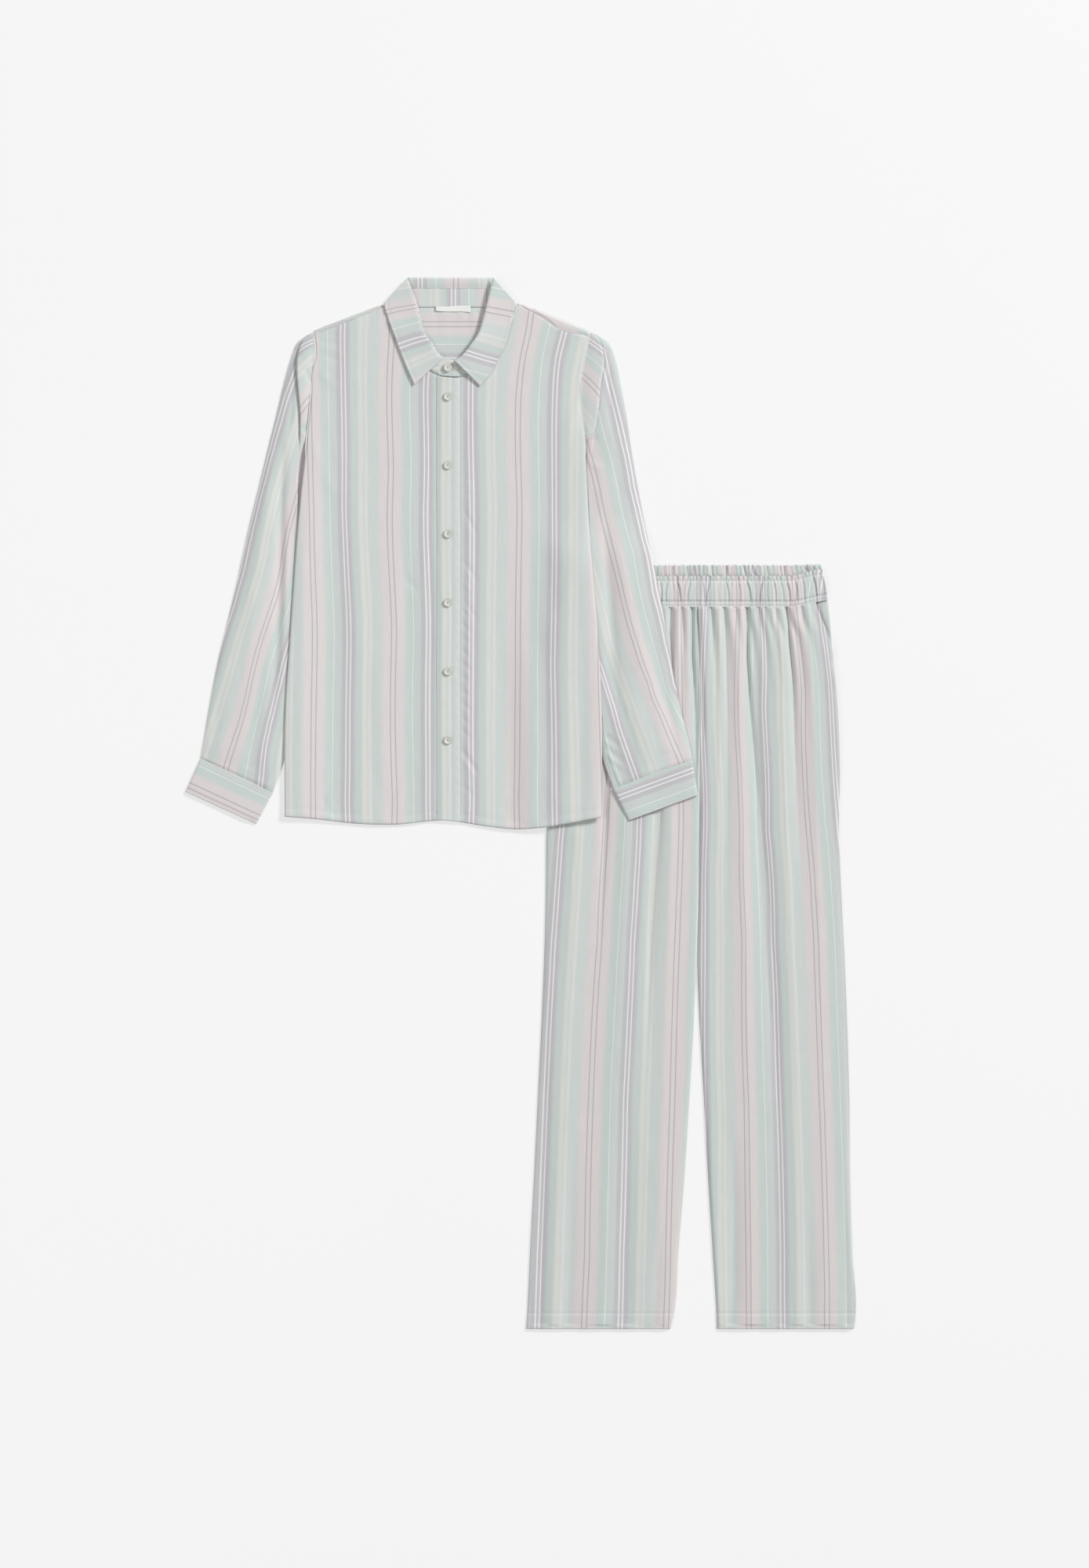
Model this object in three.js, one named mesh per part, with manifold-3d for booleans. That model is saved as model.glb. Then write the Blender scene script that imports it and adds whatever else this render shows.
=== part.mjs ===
// Pyjama set laid flat: a long-sleeved shirt over the upper left part of wide trousers.
// Millimetres. X runs right, Y towards the collar, Z up from the surface it lies on.
// Each garment has its own plan: "across" is right of its middle line, "down" is below its top edge.
import * as THREE from 'three';
import Module from 'manifold-3d';

// Cloth
const wall = 1.0;
const seamGap = 0.3;
const layer = wall + seamGap;
const doubleWall = 1.5;

// Places of the two garments
const shirtMiddleX = -94.5;
const shirtTopY = 690.5;
const trouserMiddleX = 232;
const trouserTopY = 312.5;
const shirtLength = 714;
const trouserLength = 1003;

// Shirt
const yokeDepth = 150;
const placketHalf = 15.5;
const buttonRadius = 5.65;
const buttonHeight = 2.2;
const buttonPitch = 90.2;
const firstButtonDown = 156.5;
const placketButtons = 6;
const standButtonDown = 118.2;
const frontLoft = 1.4;
const sleeveLoft = 2.6;
const cuffLoft = 0.8;
const capRise = 1.6;
const overSleeve = 4.4;
const collarRaise = layer;

// Trousers
const frontBandTop = 14.5;
const bandSeam = 54.5;
const waistLoft = 4.2;
const legLoft = 1.2;
const loftFadesOver = 330;
const pocketRaise = layer;

// Body of the shirt: armhole and side seam.
const bodyEdges = [
  { down: 70, left: -176, right: 184 },
  { down: 104, left: -174, right: 178 },
  { down: 126, left: -179.5, right: 173.6 },
  { down: 150, left: -179.5, right: 172.8 },
  { down: 175, left: -182, right: 173.6 },
  { down: 217, left: -186, right: 178.6 },
  { down: 284, left: -193.5, right: 182.4 },
  { down: 371, left: -201, right: 188 },
  { down: 474, left: -208, right: 196.6 },
  { down: 562, left: -214, right: 201 },
  { down: 714, left: -215, right: 201 },
];

// Curved hem of the shirt.
const hemLine = [
  { across: -215, down: 708.5 },
  { across: -177, down: 711.5 },
  { across: -115, down: 718 },
  { across: -74, down: 719 },
  { across: -2, down: 713.5 },
  { across: 49, down: 721 },
  { across: 90, down: 725 },
  { across: 111, down: 724 },
  { across: 201, down: 709.5 },
];

// Shoulder fold of the yoke, and the seam where the yoke's front strips meet the fronts.
const shoulderLine = [
  { across: -190, fold: 76, seam: 83 },
  { across: -172, fold: 68, seam: 75 },
  { across: -140, fold: 55.6, seam: 61.6 },
  { across: -108, fold: 43.3, seam: 49 },
  { across: -86, fold: 35.4, seam: 40 },
  { across: 86, fold: 32.5, seam: 35.4 },
  { across: 100, fold: 37, seam: 40.5 },
  { across: 117, fold: 43, seam: 50 },
  { across: 142, fold: 53, seam: 67 },
  { across: 161, fold: 61, seam: 73.5 },
  { across: 178, fold: 68, seam: 77 },
  { across: 190, fold: 73, seam: 80 },
];

// Neck seam of the fronts, under the collar.
const neckSeam = [
  { across: -86, down: 40 },
  { across: -71, down: 42 },
  { across: -62, down: 58 },
  { across: -53, down: 84 },
  { across: -38, down: 111 },
  { across: -21, down: 126 },
  { across: 0, down: 131 },
  { across: 15, down: 131 },
  { across: 29, down: 126 },
  { across: 45, down: 111 },
  { across: 62, down: 84 },
  { across: 71, down: 58 },
  { across: 78, down: 40 },
  { across: 86, down: 35.4 },
];

// The collar stand from its shoulder end to its tab: roll edge inside, neck seam outside.
const standLeft = [
  { rollX: -48, rollD: 16, seamX: -69, seamD: 32 },
  { rollX: -44, rollD: 27, seamX: -64, seamD: 48 },
  { rollX: -40, rollD: 37, seamX: -60, seamD: 58 },
  { rollX: -31, rollD: 72, seamX: -51, seamD: 84 },
  { rollX: -22, rollD: 85, seamX: -36.5, seamD: 109 },
  { rollX: -10, rollD: 102, seamX: -20.5, seamD: 124.5 },
  { rollX: 1, rollD: 107, seamX: 0, seamD: 130.4 },
  { rollX: 9, rollD: 111, seamX: 8, seamD: 130.6 },
  { rollX: 14, rollD: 120, seamX: 13.5, seamD: 130.4 },
];
const standRight = [
  { rollX: 53, rollD: 16, seamX: 74, seamD: 32 },
  { rollX: 51.5, rollD: 27, seamX: 72, seamD: 47 },
  { rollX: 50, rollD: 37, seamX: 69.5, seamD: 58 },
  { rollX: 39, rollD: 73, seamX: 60, seamD: 84 },
  { rollX: 28, rollD: 90, seamX: 43.5, seamD: 109.5 },
  { rollX: 16, rollD: 103, seamX: 28, seamD: 124.6 },
  { rollX: 4, rollD: 109, seamX: 14, seamD: 130 },
  { rollX: -8, rollD: 112, seamX: -4, seamD: 130 },
  { rollX: -14, rollD: 120, seamX: -13.5, seamD: 128 },
];

// Collar leaves from the shoulder fold to the point: roll edge and outer edge.
const leafLeft = [
  { rollX: -53.5, rollD: 0.8, outerX: -81.5, outerD: 31 },
  { rollX: -47.5, rollD: 18, outerX: -84.3, outerD: 36 },
  { rollX: -42, rollD: 36, outerX: -80.3, outerD: 51.5 },
  { rollX: -33.5, rollD: 71, outerX: -70.5, outerD: 78 },
  { rollX: -24.5, rollD: 83, outerX: -63, outerD: 99 },
  { rollX: -14.5, rollD: 99.5, outerX: -54.5, outerD: 119.5 },
  { rollX: -7.2, rollD: 106.3, outerX: -44.8, outerD: 141.6 },
];
const leafRight = [
  { rollX: 58.7, rollD: 0.8, outerX: 87.4, outerD: 32.5 },
  { rollX: 55, rollD: 15, outerX: 87, outerD: 38 },
  { rollX: 49.5, rollD: 38, outerX: 84.5, outerD: 52 },
  { rollX: 40.5, rollD: 71, outerX: 76.5, outerD: 84 },
  { rollX: 30, rollD: 87.5, outerX: 66.5, outerD: 105 },
  { rollX: 19.6, rollD: 101, outerX: 56, outerD: 125.5 },
  { rollX: 8.3, rollD: 110, outerX: 41.7, outerD: 143.2 },
];

// Sleeves from shoulder to cuff: outer fold, inner edge, reach of the cap's tuck and its rise.
const sleeveLeft = [
  { outerX: -186.5, outerD: 76, innerX: -178, innerD: 74, tuck: 6, rise: 0 },
  { outerX: -199, outerD: 86.5, innerX: -176.2, innerD: 94, tuck: 14, rise: 0.5 },
  { outerX: -208, outerD: 109, innerX: -177.6, innerD: 114, tuck: 22, rise: 0.9 },
  { outerX: -216.5, outerD: 140, innerX: -180.6, innerD: 140, tuck: 17.5, rise: 1 },
  { outerX: -226.6, outerD: 183, innerX: -184, innerD: 183, tuck: 10.5, rise: 1 },
  { outerX: -237, outerD: 224.5, innerX: -188.2, innerD: 223, tuck: 7, rise: 0.6 },
  { outerX: -247, outerD: 266, innerX: -188.5, innerD: 274, tuck: 8, rise: 0 },
  { outerX: -264, outerD: 336, innerX: -193, innerD: 346, tuck: 8, rise: 0 },
  { outerX: -282, outerD: 418, innerX: -199, innerD: 430, tuck: 8, rise: 0 },
  { outerX: -302, outerD: 500.5, innerX: -204, innerD: 519, tuck: 8, rise: 0 },
  { outerX: -314, outerD: 562, innerX: -209, innerD: 588, tuck: 8, rise: 0 },
  { outerX: -321, outerD: 603.5, innerX: -216, innerD: 636, tuck: 8, rise: 0 },
  { outerX: -325.5, outerD: 631, innerX: -230.7, innerD: 676.4, tuck: 8, rise: 0 },
];
const sleeveRight = [
  { outerX: 194, outerD: 75, innerX: 186.4, innerD: 73.4, tuck: 6, rise: 0 },
  { outerX: 210, outerD: 86.5, innerX: 182.6, innerD: 94, tuck: 19, rise: 0.5 },
  { outerX: 219.5, outerD: 109, innerX: 178, innerD: 115, tuck: 27, rise: 0.9 },
  { outerX: 226, outerD: 140, innerX: 174.4, innerD: 142, tuck: 26, rise: 1 },
  { outerX: 234, outerD: 183, innerX: 175.4, innerD: 183, tuck: 20.5, rise: 1 },
  { outerX: 240, outerD: 224.5, innerX: 180.6, innerD: 223, tuck: 8, rise: 0.6 },
  { outerX: 247, outerD: 266, innerX: 176.5, innerD: 276, tuck: 8, rise: 0 },
  { outerX: 260.5, outerD: 336, innerX: 178, innerD: 348, tuck: 8, rise: 0 },
  { outerX: 277.5, outerD: 418, innerX: 182, innerD: 433, tuck: 8, rise: 0 },
  { outerX: 291.5, outerD: 500.5, innerX: 188.5, innerD: 523, tuck: 8, rise: 0 },
  { outerX: 303.5, outerD: 562, innerX: 195, innerD: 588, tuck: 8, rise: 0 },
  { outerX: 314, outerD: 603.5, innerX: 203, innerD: 632, tuck: 8, rise: 0 },
  { outerX: 319.8, outerD: 633, innerX: 216.3, innerD: 671.2, tuck: 8, rise: 0 },
];
const cuffLeft = { seamX: -325.6, seamD: 631.4, innerX: -230.7, innerD: 676.9,
  endX: -345.4, endD: 675.7, innerEndX: -252.4, innerEndD: 718 };
const cuffRight = { seamX: 319.9, seamD: 633.5, innerX: 216.2, innerD: 671.7,
  endX: 327.5, endD: 680, innerEndX: 236.9, innerEndD: 713.3 };

// Long soft creases of the shirt: start, end, width and the share of loft each takes.
const shirtCreases = [
  { fromX: -218, fromD: 226, toX: -229, toD: 544, width: 16, depth: 0.8 },
  { fromX: -262, fromD: 470, toX: -290, toD: 612, width: 14, depth: 0.5 },
  { fromX: 209, fromD: 300, toX: 226, toD: 562, width: 16, depth: 0.85 },
  { fromX: 250, fromD: 420, toX: 272, toD: 610, width: 14, depth: 0.5 },
  { fromX: 24, fromD: 190, toX: 26, toD: 700, width: 14, depth: 0.7 },
  { fromX: -120, fromD: 470, toX: -124, toD: 712, width: 24, depth: 0.6 },
  { fromX: 92, fromD: 540, toX: 88, toD: 716, width: 26, depth: 0.6 },
];

// Trousers: side edges, and the inner edges that meet at the centre seam and part below the crotch.
const trouserEdges = [
  { down: 0, left: -167, leftInner: -0.2, rightInner: 0.2, right: 163.5 },
  { down: 20, left: -169, leftInner: 0, rightInner: 0.4, right: 168 },
  { down: 61, left: -175, leftInner: 1.4, rightInner: 1.8, right: 174 },
  { down: 112, left: -183, leftInner: 3, rightInner: 3.4, right: 178 },
  { down: 184, left: -192, leftInner: 4.2, rightInner: 4.6, right: 184.5 },
  { down: 260, left: -197, leftInner: 3.6, rightInner: 4, right: 187.5 },
  { down: 349, left: -198, leftInner: 2.6, rightInner: 3, right: 186.5 },
  { down: 450, left: -199, leftInner: 1.4, rightInner: 1.8, right: 190.5 },
  { down: 521, left: -201, leftInner: -0.2, rightInner: 0.4, right: 194 },
  { down: 596, left: -204, leftInner: -4, rightInner: 3, right: 197 },
  { down: 699, left: -209, leftInner: -10, rightInner: 9, right: 200 },
  { down: 802, left: -214, leftInner: -16.5, rightInner: 14.4, right: 201 },
  { down: 905, left: -219.4, leftInner: -24.7, rightInner: 20.6, right: 204 },
  { down: 986, left: -223.3, leftInner: -31, rightInner: 25.3, right: 208 },
  { down: 1003, left: -224.5, leftInner: -35, rightInner: 25.8, right: 206 },
];

// Gathers of the front, a row for each valley: place along the band, share of loft it takes, length.
const gathers = [
  { across: -157, depth: 0.6, run: 120 },
  { across: -142, depth: 0.8, run: 160 },
  { across: -126, depth: 1.0, run: 230 },
  { across: -110, depth: 0.7, run: 110 },
  { across: -95, depth: 0.9, run: 190 },
  { across: -80, depth: 0.8, run: 150 },
  { across: -65, depth: 1.0, run: 260 },
  { across: -50, depth: 0.7, run: 120 },
  { across: -34, depth: 0.9, run: 200 },
  { across: -19.6, depth: 1.0, run: 240 },
  { across: -6, depth: 0.7, run: 120 },
  { across: 6, depth: 0.6, run: 110 },
  { across: 18.5, depth: 0.9, run: 210 },
  { across: 36, depth: 0.9, run: 190 },
  { across: 50, depth: 0.7, run: 120 },
  { across: 66, depth: 1.0, run: 280 },
  { across: 81, depth: 0.8, run: 170 },
  { across: 92, depth: 0.8, run: 140 },
  { across: 104, depth: 0.7, run: 120 },
  { across: 119.5, depth: 1.0, run: 230 },
  { across: 135, depth: 0.7, run: 120 },
  { across: 152, depth: 0.5, run: 90 },
];

// The waistband from ruffle to seam: how full its waves are in each row, front and back.
const frontBandRows = [
  { share: 0, crest: 1.0, valley: 0.1 },
  { share: 0.17, crest: 0.62, valley: 0.3 },
  { share: 0.5, crest: 0.95, valley: 0.25 },
  { share: 0.8, crest: 0.68, valley: 0.3 },
  { share: 1, crest: 0.85, valley: 0.15 },
];
const backBandRows = [
  { down: 0, crest: 1.8, valley: 0 },
  { down: 11, crest: 0.8, valley: 0 },
  { down: 54, crest: 0, valley: 0 },
];

// Rows of the leg panels, and of the shirt's body below the yoke.
const legRows = [0, 14, 38, 75, 125, 190, 280, 420, 620, 931, 948.5];
const bodyRows = [150, 175, 200, 225, 258, 298, 320, 340, 360, 380, 410, 470, 540, 610, 670, 714];
const topRows = [0, 0.35, 0.7, 1];
const bodyColumns = [0, 0.08, 0.2, 0.32, 0.44, 0.56, 0.68, 0.78, 0.87, 0.94, 1];
// Share of the raise over the sleeves that each column outside the placket takes.
const columnRaise = [0, 0, 0, 0, 0, 0, 0.02, 0.2, 0.65, 1, 1];

const lerp = (a, b, t) => a + (b - a) * t;
const clamp01 = (t) => Math.min(Math.max(t, 0), 1);
const smooth = (t) => clamp01(t) ** 2 * (3 - 2 * clamp01(t));

// A smooth curve through one column of a table, read at a place along another column.
function reading(rows, along, column) {
  const at = rows.map((row) => row[along]);
  const value = rows.map((row) => row[column]);
  const last = at.length - 1;
  const slope = at.map((_, i) => {
    const before = Math.max(i - 1, 0);
    const after = Math.min(i + 1, last);
    return (value[after] - value[before]) / (at[after] - at[before]);
  });
  return (place) => {
    if (place <= at[0]) return value[0];
    if (place >= at[last]) return value[last];
    const i = at.findIndex((mark) => mark > place) - 1;
    const span = at[i + 1] - at[i];
    const t = (place - at[i]) / span;
    const rise = value[i + 1] - value[i];
    const bendA = slope[i] * span - rise;
    const bendB = rise - slope[i + 1] * span;
    return lerp(value[i], value[i + 1], t) + t * (1 - t) * (bendA * (1 - t) + bendB * t);
  };
}

const bodyLeft = reading(bodyEdges, 'down', 'left');
const bodyRight = reading(bodyEdges, 'down', 'right');
const hem = reading(hemLine, 'across', 'down');
const shoulderFold = reading(shoulderLine, 'across', 'fold');
const shoulderSeam = reading(shoulderLine, 'across', 'seam');
const neck = reading(neckSeam, 'across', 'down');
const trouserLeft = reading(trouserEdges, 'down', 'left');
const trouserRight = reading(trouserEdges, 'down', 'right');
const leftInner = reading(trouserEdges, 'down', 'leftInner');
const rightInner = reading(trouserEdges, 'down', 'rightInner');

// A closed body from four-sided faces; its faces are turned outwards if they came out inwards.
function closedBody(points, quads) {
  const index = quads.flatMap(([a, b, c, d]) => [a, b, c, a, c, d]);
  let volume = 0;
  for (let i = 0; i < index.length; i += 3) {
    const [a, b, c] = [0, 1, 2].map((k) => new THREE.Vector3(...points[index[i + k]]));
    volume += a.dot(b.cross(c));
  }
  if (volume < 0) index.reverse();
  const geometry = new THREE.BufferGeometry();
  geometry.setAttribute('position', new THREE.Float32BufferAttribute(points.flat(), 3));
  geometry.setIndex(index);
  return geometry;
}

// A sheet of cloth over a plan grid of [across, down] places, between an under and an upper height.
function sheet(grid, under, over = (...place) => under(...place) + wall) {
  const rows = grid.length;
  const columns = grid[0].length;
  const points = [under, over].flatMap((height) =>
    grid.flatMap((row, r) => row.map(([x, d], c) => [x, -d, height(x, d, r, c)])));
  const low = (r, c) => r * columns + c;
  const high = (r, c) => rows * columns + low(r, c);
  const quads = [];
  for (let r = 0; r + 1 < rows; r += 1) {
    for (let c = 0; c + 1 < columns; c += 1) {
      quads.push([high(r, c), high(r + 1, c), high(r + 1, c + 1), high(r, c + 1)]);
      quads.push([low(r, c), low(r, c + 1), low(r + 1, c + 1), low(r + 1, c)]);
    }
  }
  const rim = [];
  for (let r = 0; r + 1 < rows; r += 1) rim.push([r, 0, r + 1, 0]);
  for (let c = 0; c + 1 < columns; c += 1) rim.push([rows - 1, c, rows - 1, c + 1]);
  for (let r = rows - 1; r > 0; r -= 1) rim.push([r, columns - 1, r - 1, columns - 1]);
  for (let c = columns - 1; c > 0; c -= 1) rim.push([0, c, 0, c - 1]);
  for (const [r, c, nextR, nextC] of rim) {
    quads.push([high(nextR, nextC), high(r, c), low(r, c), low(nextR, nextC)]);
  }
  return closedBody(points, quads);
}

// An open tube of cloth through rings of outer points, each with its inner point.
function tube(rings) {
  const around = rings[0].outer.length;
  const count = rings.length;
  const points = [...rings.flatMap((ring) => ring.outer), ...rings.flatMap((ring) => ring.inner)];
  const outer = (r, i) => r * around + (i % around);
  const inner = (r, i) => count * around + outer(r, i);
  const quads = [];
  for (let i = 0; i < around; i += 1) {
    for (let r = 0; r + 1 < count; r += 1) {
      quads.push([outer(r, i), outer(r, i + 1), outer(r + 1, i + 1), outer(r + 1, i)]);
      quads.push([inner(r, i), inner(r + 1, i), inner(r + 1, i + 1), inner(r, i + 1)]);
    }
    const end = count - 1;
    quads.push([outer(0, i + 1), outer(0, i), inner(0, i), inner(0, i + 1)]);
    quads.push([outer(end, i), outer(end, i + 1), inner(end, i + 1), inner(end, i)]);
  }
  return closedBody(points, quads);
}

const wasm = await Module();
wasm.setup();

// Stretches of one piece that run into each other become one body.
function joined(...geometries) {
  const bodies = geometries.map((geometry) => new wasm.Manifold(new wasm.Mesh({
    numProp: 3,
    vertProperties: geometry.getAttribute('position').array,
    triVerts: new Uint32Array(geometry.getIndex().array),
  })));
  const mesh = bodies.reduce((whole, body) => whole.add(body)).getMesh();
  const geometry = new THREE.BufferGeometry();
  geometry.setAttribute('position', new THREE.Float32BufferAttribute(mesh.vertProperties, 3));
  geometry.setIndex(new THREE.Uint32BufferAttribute(mesh.triVerts, 1));
  return geometry;
}

// How much of the loft is left at a place after the creases have taken their share.
function leftByCreases(x, d) {
  return shirtCreases.reduce((share, crease) => {
    const from = new THREE.Vector2(crease.fromX, crease.fromD);
    const run = new THREE.Vector2(crease.toX, crease.toD).sub(from);
    const offset = new THREE.Vector2(x, d).sub(from);
    const along = offset.dot(run) / run.lengthSq();
    const aside = Math.abs(offset.cross(run)) / run.length();
    const ends = smooth(along * 6) * smooth((1 - along) * 6 + 0.3);
    return share * (1 - crease.depth * ends * smooth(1 - aside / crease.width));
  }, 1);
}

// Fullness of the trousers' front from band to hem, and the height of all that lies over the floor there.
const fullness = (down) => lerp(waistLoft, legLoft, smooth(down / loftFadesOver));
const toTrouserX = shirtMiddleX - trouserMiddleX;
const toTrouserD = trouserTopY - shirtTopY;
function trouserRest(x, d) {
  const across = x + toTrouserX;
  const down = d + toTrouserD;
  const top = layer + wall + fullness(Math.max(down - bandSeam, 0)) + 1.5;
  const beside = smooth((across - trouserLeft(down) + 48) / 45);
  const above = smooth((down + 63) / 60);
  return top * beside * above;
}

// The body's rest height: on the floor, the trousers, the sleeves' inner edges and the collar's fall.
function bodyRest(x, d, column) {
  const sleeves = overSleeve * columnRaise[Math.abs(column)] * smooth((d - yokeDepth) / 75);
  const fall = collarRaise * (1 - smooth((d - yokeDepth) / 75));
  return trouserRest(x, d) + sleeves + fall;
}

// Plan grid of a body panel between two columns, counted from the button line out to either side.
function bodyGrid(firstColumn, lastColumn, top) {
  const columns = [];
  for (let c = firstColumn; c <= lastColumn; c += 1) columns.push(c);
  const across = (column, d) => {
    const share = bodyColumns[Math.abs(column)];
    const side = column < 0 ? -bodyLeft(d) : bodyRight(d);
    const inPlacket = (share / bodyColumns[1]) * placketHalf;
    const outside = lerp(placketHalf, side, (share - bodyColumns[1]) / (1 - bodyColumns[1]));
    return Math.sign(column) * (share <= bodyColumns[1] ? inPlacket : outside);
  };
  const place = (column, downAt) => {
    let d = yokeDepth;
    for (let turn = 0; turn < 6; turn += 1) d = downAt(across(column, d));
    return [across(column, d), d];
  };
  const upper = top ? topRows.map((t) => (x) => lerp(top(x), yokeDepth, t)) : [];
  const lower = bodyRows.map((row) => (x) =>
    row + (hem(x) - shirtLength) * smooth((row - 540) / (shirtLength - 540)));
  const rows = top ? [...upper, ...lower.slice(1)] : lower;
  return rows.map((downAt) => columns.map((column) => place(column, downAt)));
}

// Fullness of a front: none at its edges, little under the collar.
function frontFullness(x, d) {
  const sides = smooth(Math.min(x - bodyLeft(d), bodyRight(d) - x) / 45);
  const middle = smooth((Math.abs(x) - placketHalf) / 30);
  return frontLoft * sides * middle * smooth((d - 160) / 60) * leftByCreases(x, d);
}

const frontTop = (x) => (Math.abs(x) < 80 ? neck(x) : shoulderSeam(x)) + 2 * seamGap;

function shirtBack() {
  const under = (x, d, r, c) => bodyRest(x, d, c - 10);
  const lowered = ([x, d]) => [x, d + seamGap];
  const grid = bodyGrid(-10, 10, null).map((row, r) => (r === 0 ? row.map(lowered) : row));
  return sheet(grid, under);
}

function shirtFront(side) {
  const first = side === 'left' ? -10 : -1;
  const last = side === 'left' ? 1 : 10;
  const lap = (x) => (side === 'left' ? layer * smooth((x + 38) / 22) : 0);
  return sheet(bodyGrid(first, last, frontTop),
    (x, d, r, c) => bodyRest(x, d, first + c) + layer + lap(x) + frontFullness(x, d));
}

function frontPlacket() {
  return sheet(bodyGrid(-1, 1, frontTop),
    (x, d, r, c) => bodyRest(x, d, c - 1) + 3 * layer + frontFullness(x, d));
}

// Plan grid of a ruled strip: each row runs between the two named ends of a table's row.
function ruledGrid(rows, one, other, shares, steps) {
  const parameter = rows.map((row, i) => ({ ...row, at: i / (rows.length - 1) }));
  const [oneX, oneD, otherX, otherD] = [`${one}X`, `${one}D`, `${other}X`, `${other}D`]
    .map((name) => reading(parameter, 'at', name));
  return Array.from({ length: steps + 1 }, (_, i) => i / steps).map((at) =>
    shares.map((share) => [lerp(oneX(at), otherX(at), share), lerp(oneD(at), otherD(at), share)]));
}

// Yoke: the back part under the neck, and a narrow strip folded over each shoulder.
function shirtYoke() {
  const neckSeamDown = 40;
  const neckHalf = 64;
  const shares = [0, 0.08, 0.16, 0.24, 0.32, 0.4, 0.5, 0.6, 0.68, 0.76, 0.84, 0.92, 1];
  const rows = [0, 0.2, 0.4, 0.6, 0.8, 1];
  const top = (x) => Math.max(shoulderFold(x), Math.abs(x - 2) < neckHalf + 16 ? neckSeamDown : 0);
  const place = (share, t) => {
    let d = yokeDepth;
    let x = 0;
    for (let turn = 0; turn < 6; turn += 1) {
      x = lerp(bodyLeft(d), bodyRight(d), share);
      d = lerp(top(x), yokeDepth, t);
    }
    return [x, d];
  };
  const back = sheet(rows.map((t) => shares.map((share) => place(share, t))), () => collarRaise);
  const strip = (from, to) => {
    const stripColumns = Array.from({ length: 9 }, (_, i) => i / 8);
    const grid = [0, 0.28, 0.4, 1].map((t) => stripColumns.map((share) => {
      const x = lerp(from, to, share);
      return [x, lerp(shoulderFold(x), shoulderSeam(x), t)];
    }));
    const foldUnder = (x, d, r) => (r < 2 ? collarRaise + 0.2 : collarRaise + layer);
    return sheet(grid, foldUnder, () => collarRaise + layer + wall);
  };
  return joined(back, strip(-174, -90), strip(92, 181));
}

// Collar stand: a band across the back of the neck and a tab end round each side of it.
function collarStand() {
  const backGrid = [[-51, 12.8, 8, 39.6], [-40, 12.8, 0, 39.6], [0, 12.8, 0, 39.6], [45, 12.8, 0, 39.6],
    [57, 12.8, 8, 39.6]].map(([x, topDown, spread, bottomDown]) => {
    const out = Math.sign(x) * spread;
    return [[x, topDown], [x + out, bottomDown]];
  });
  const back = sheet(backGrid, () => collarRaise);
  const band = (rows, lap) => {
    const steps = 2 * (rows.length - 1);
    const grid = ruledGrid(rows, 'roll', 'seam', [0, 0.5, 1], steps);
    const raise = (r) => (r === 0 ? wall / 2 : layer + lap * smooth((r - steps + 5) / 3));
    return sheet(grid, (x, d, r) => collarRaise + raise(r));
  };
  return joined(back, band(standLeft, layer), band(standRight, 0));
}

// Collar: two leaves lying on the fronts, the roll across the back of the neck and the fall beneath it.
function collarPiece() {
  const leafHeight = (share, r) => lerp(5.7, 4.3, share) + 0.9 * smooth((r - 9) / 3) * (1 - share);
  const leaf = (rows) => {
    const grid = ruledGrid(rows, 'roll', 'outer', [0, 0.12, 0.35, 0.65, 1], 14);
    const shareOf = (c) => [0, 0.12, 0.35, 0.65, 1][c];
    grid[1] = grid[0].map(([x, d], c) => [lerp(x, grid[1][c][0], 0.3), lerp(d, grid[1][c][1], 0.3)]);
    const upper = (x, d, r, c) => leafHeight(shareOf(c), r) + wall;
    return sheet(grid, (x, d, r, c) => (r < 2 ? 0 : upper(x, d, r, c) - wall), upper);
  };
  const fallGrid = [0, 0.5, 1].map((t) => [0, 0.25, 0.5, 0.75, 1].map((share) => {
    const left = lerp(-53, -80.5, smooth(t * 1.4));
    const right = lerp(58.2, 86, smooth(t * 1.4));
    return [lerp(left, right, share), lerp(0.6, 52, t)];
  }));
  const fall = sheet(fallGrid, () => 0);
  const rollGrid = [0.4, 1.7, 2.4, 12.4].map((d) => [-52.6, -20, 15, 57.8].map((x) => [x, d]));
  const roll = sheet(rollGrid, (x, d, r) => (r < 2 ? 0.3 : collarRaise), () => collarRaise + wall);
  return joined(leaf(leafLeft), leaf(leafRight), fall, roll);
}

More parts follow.
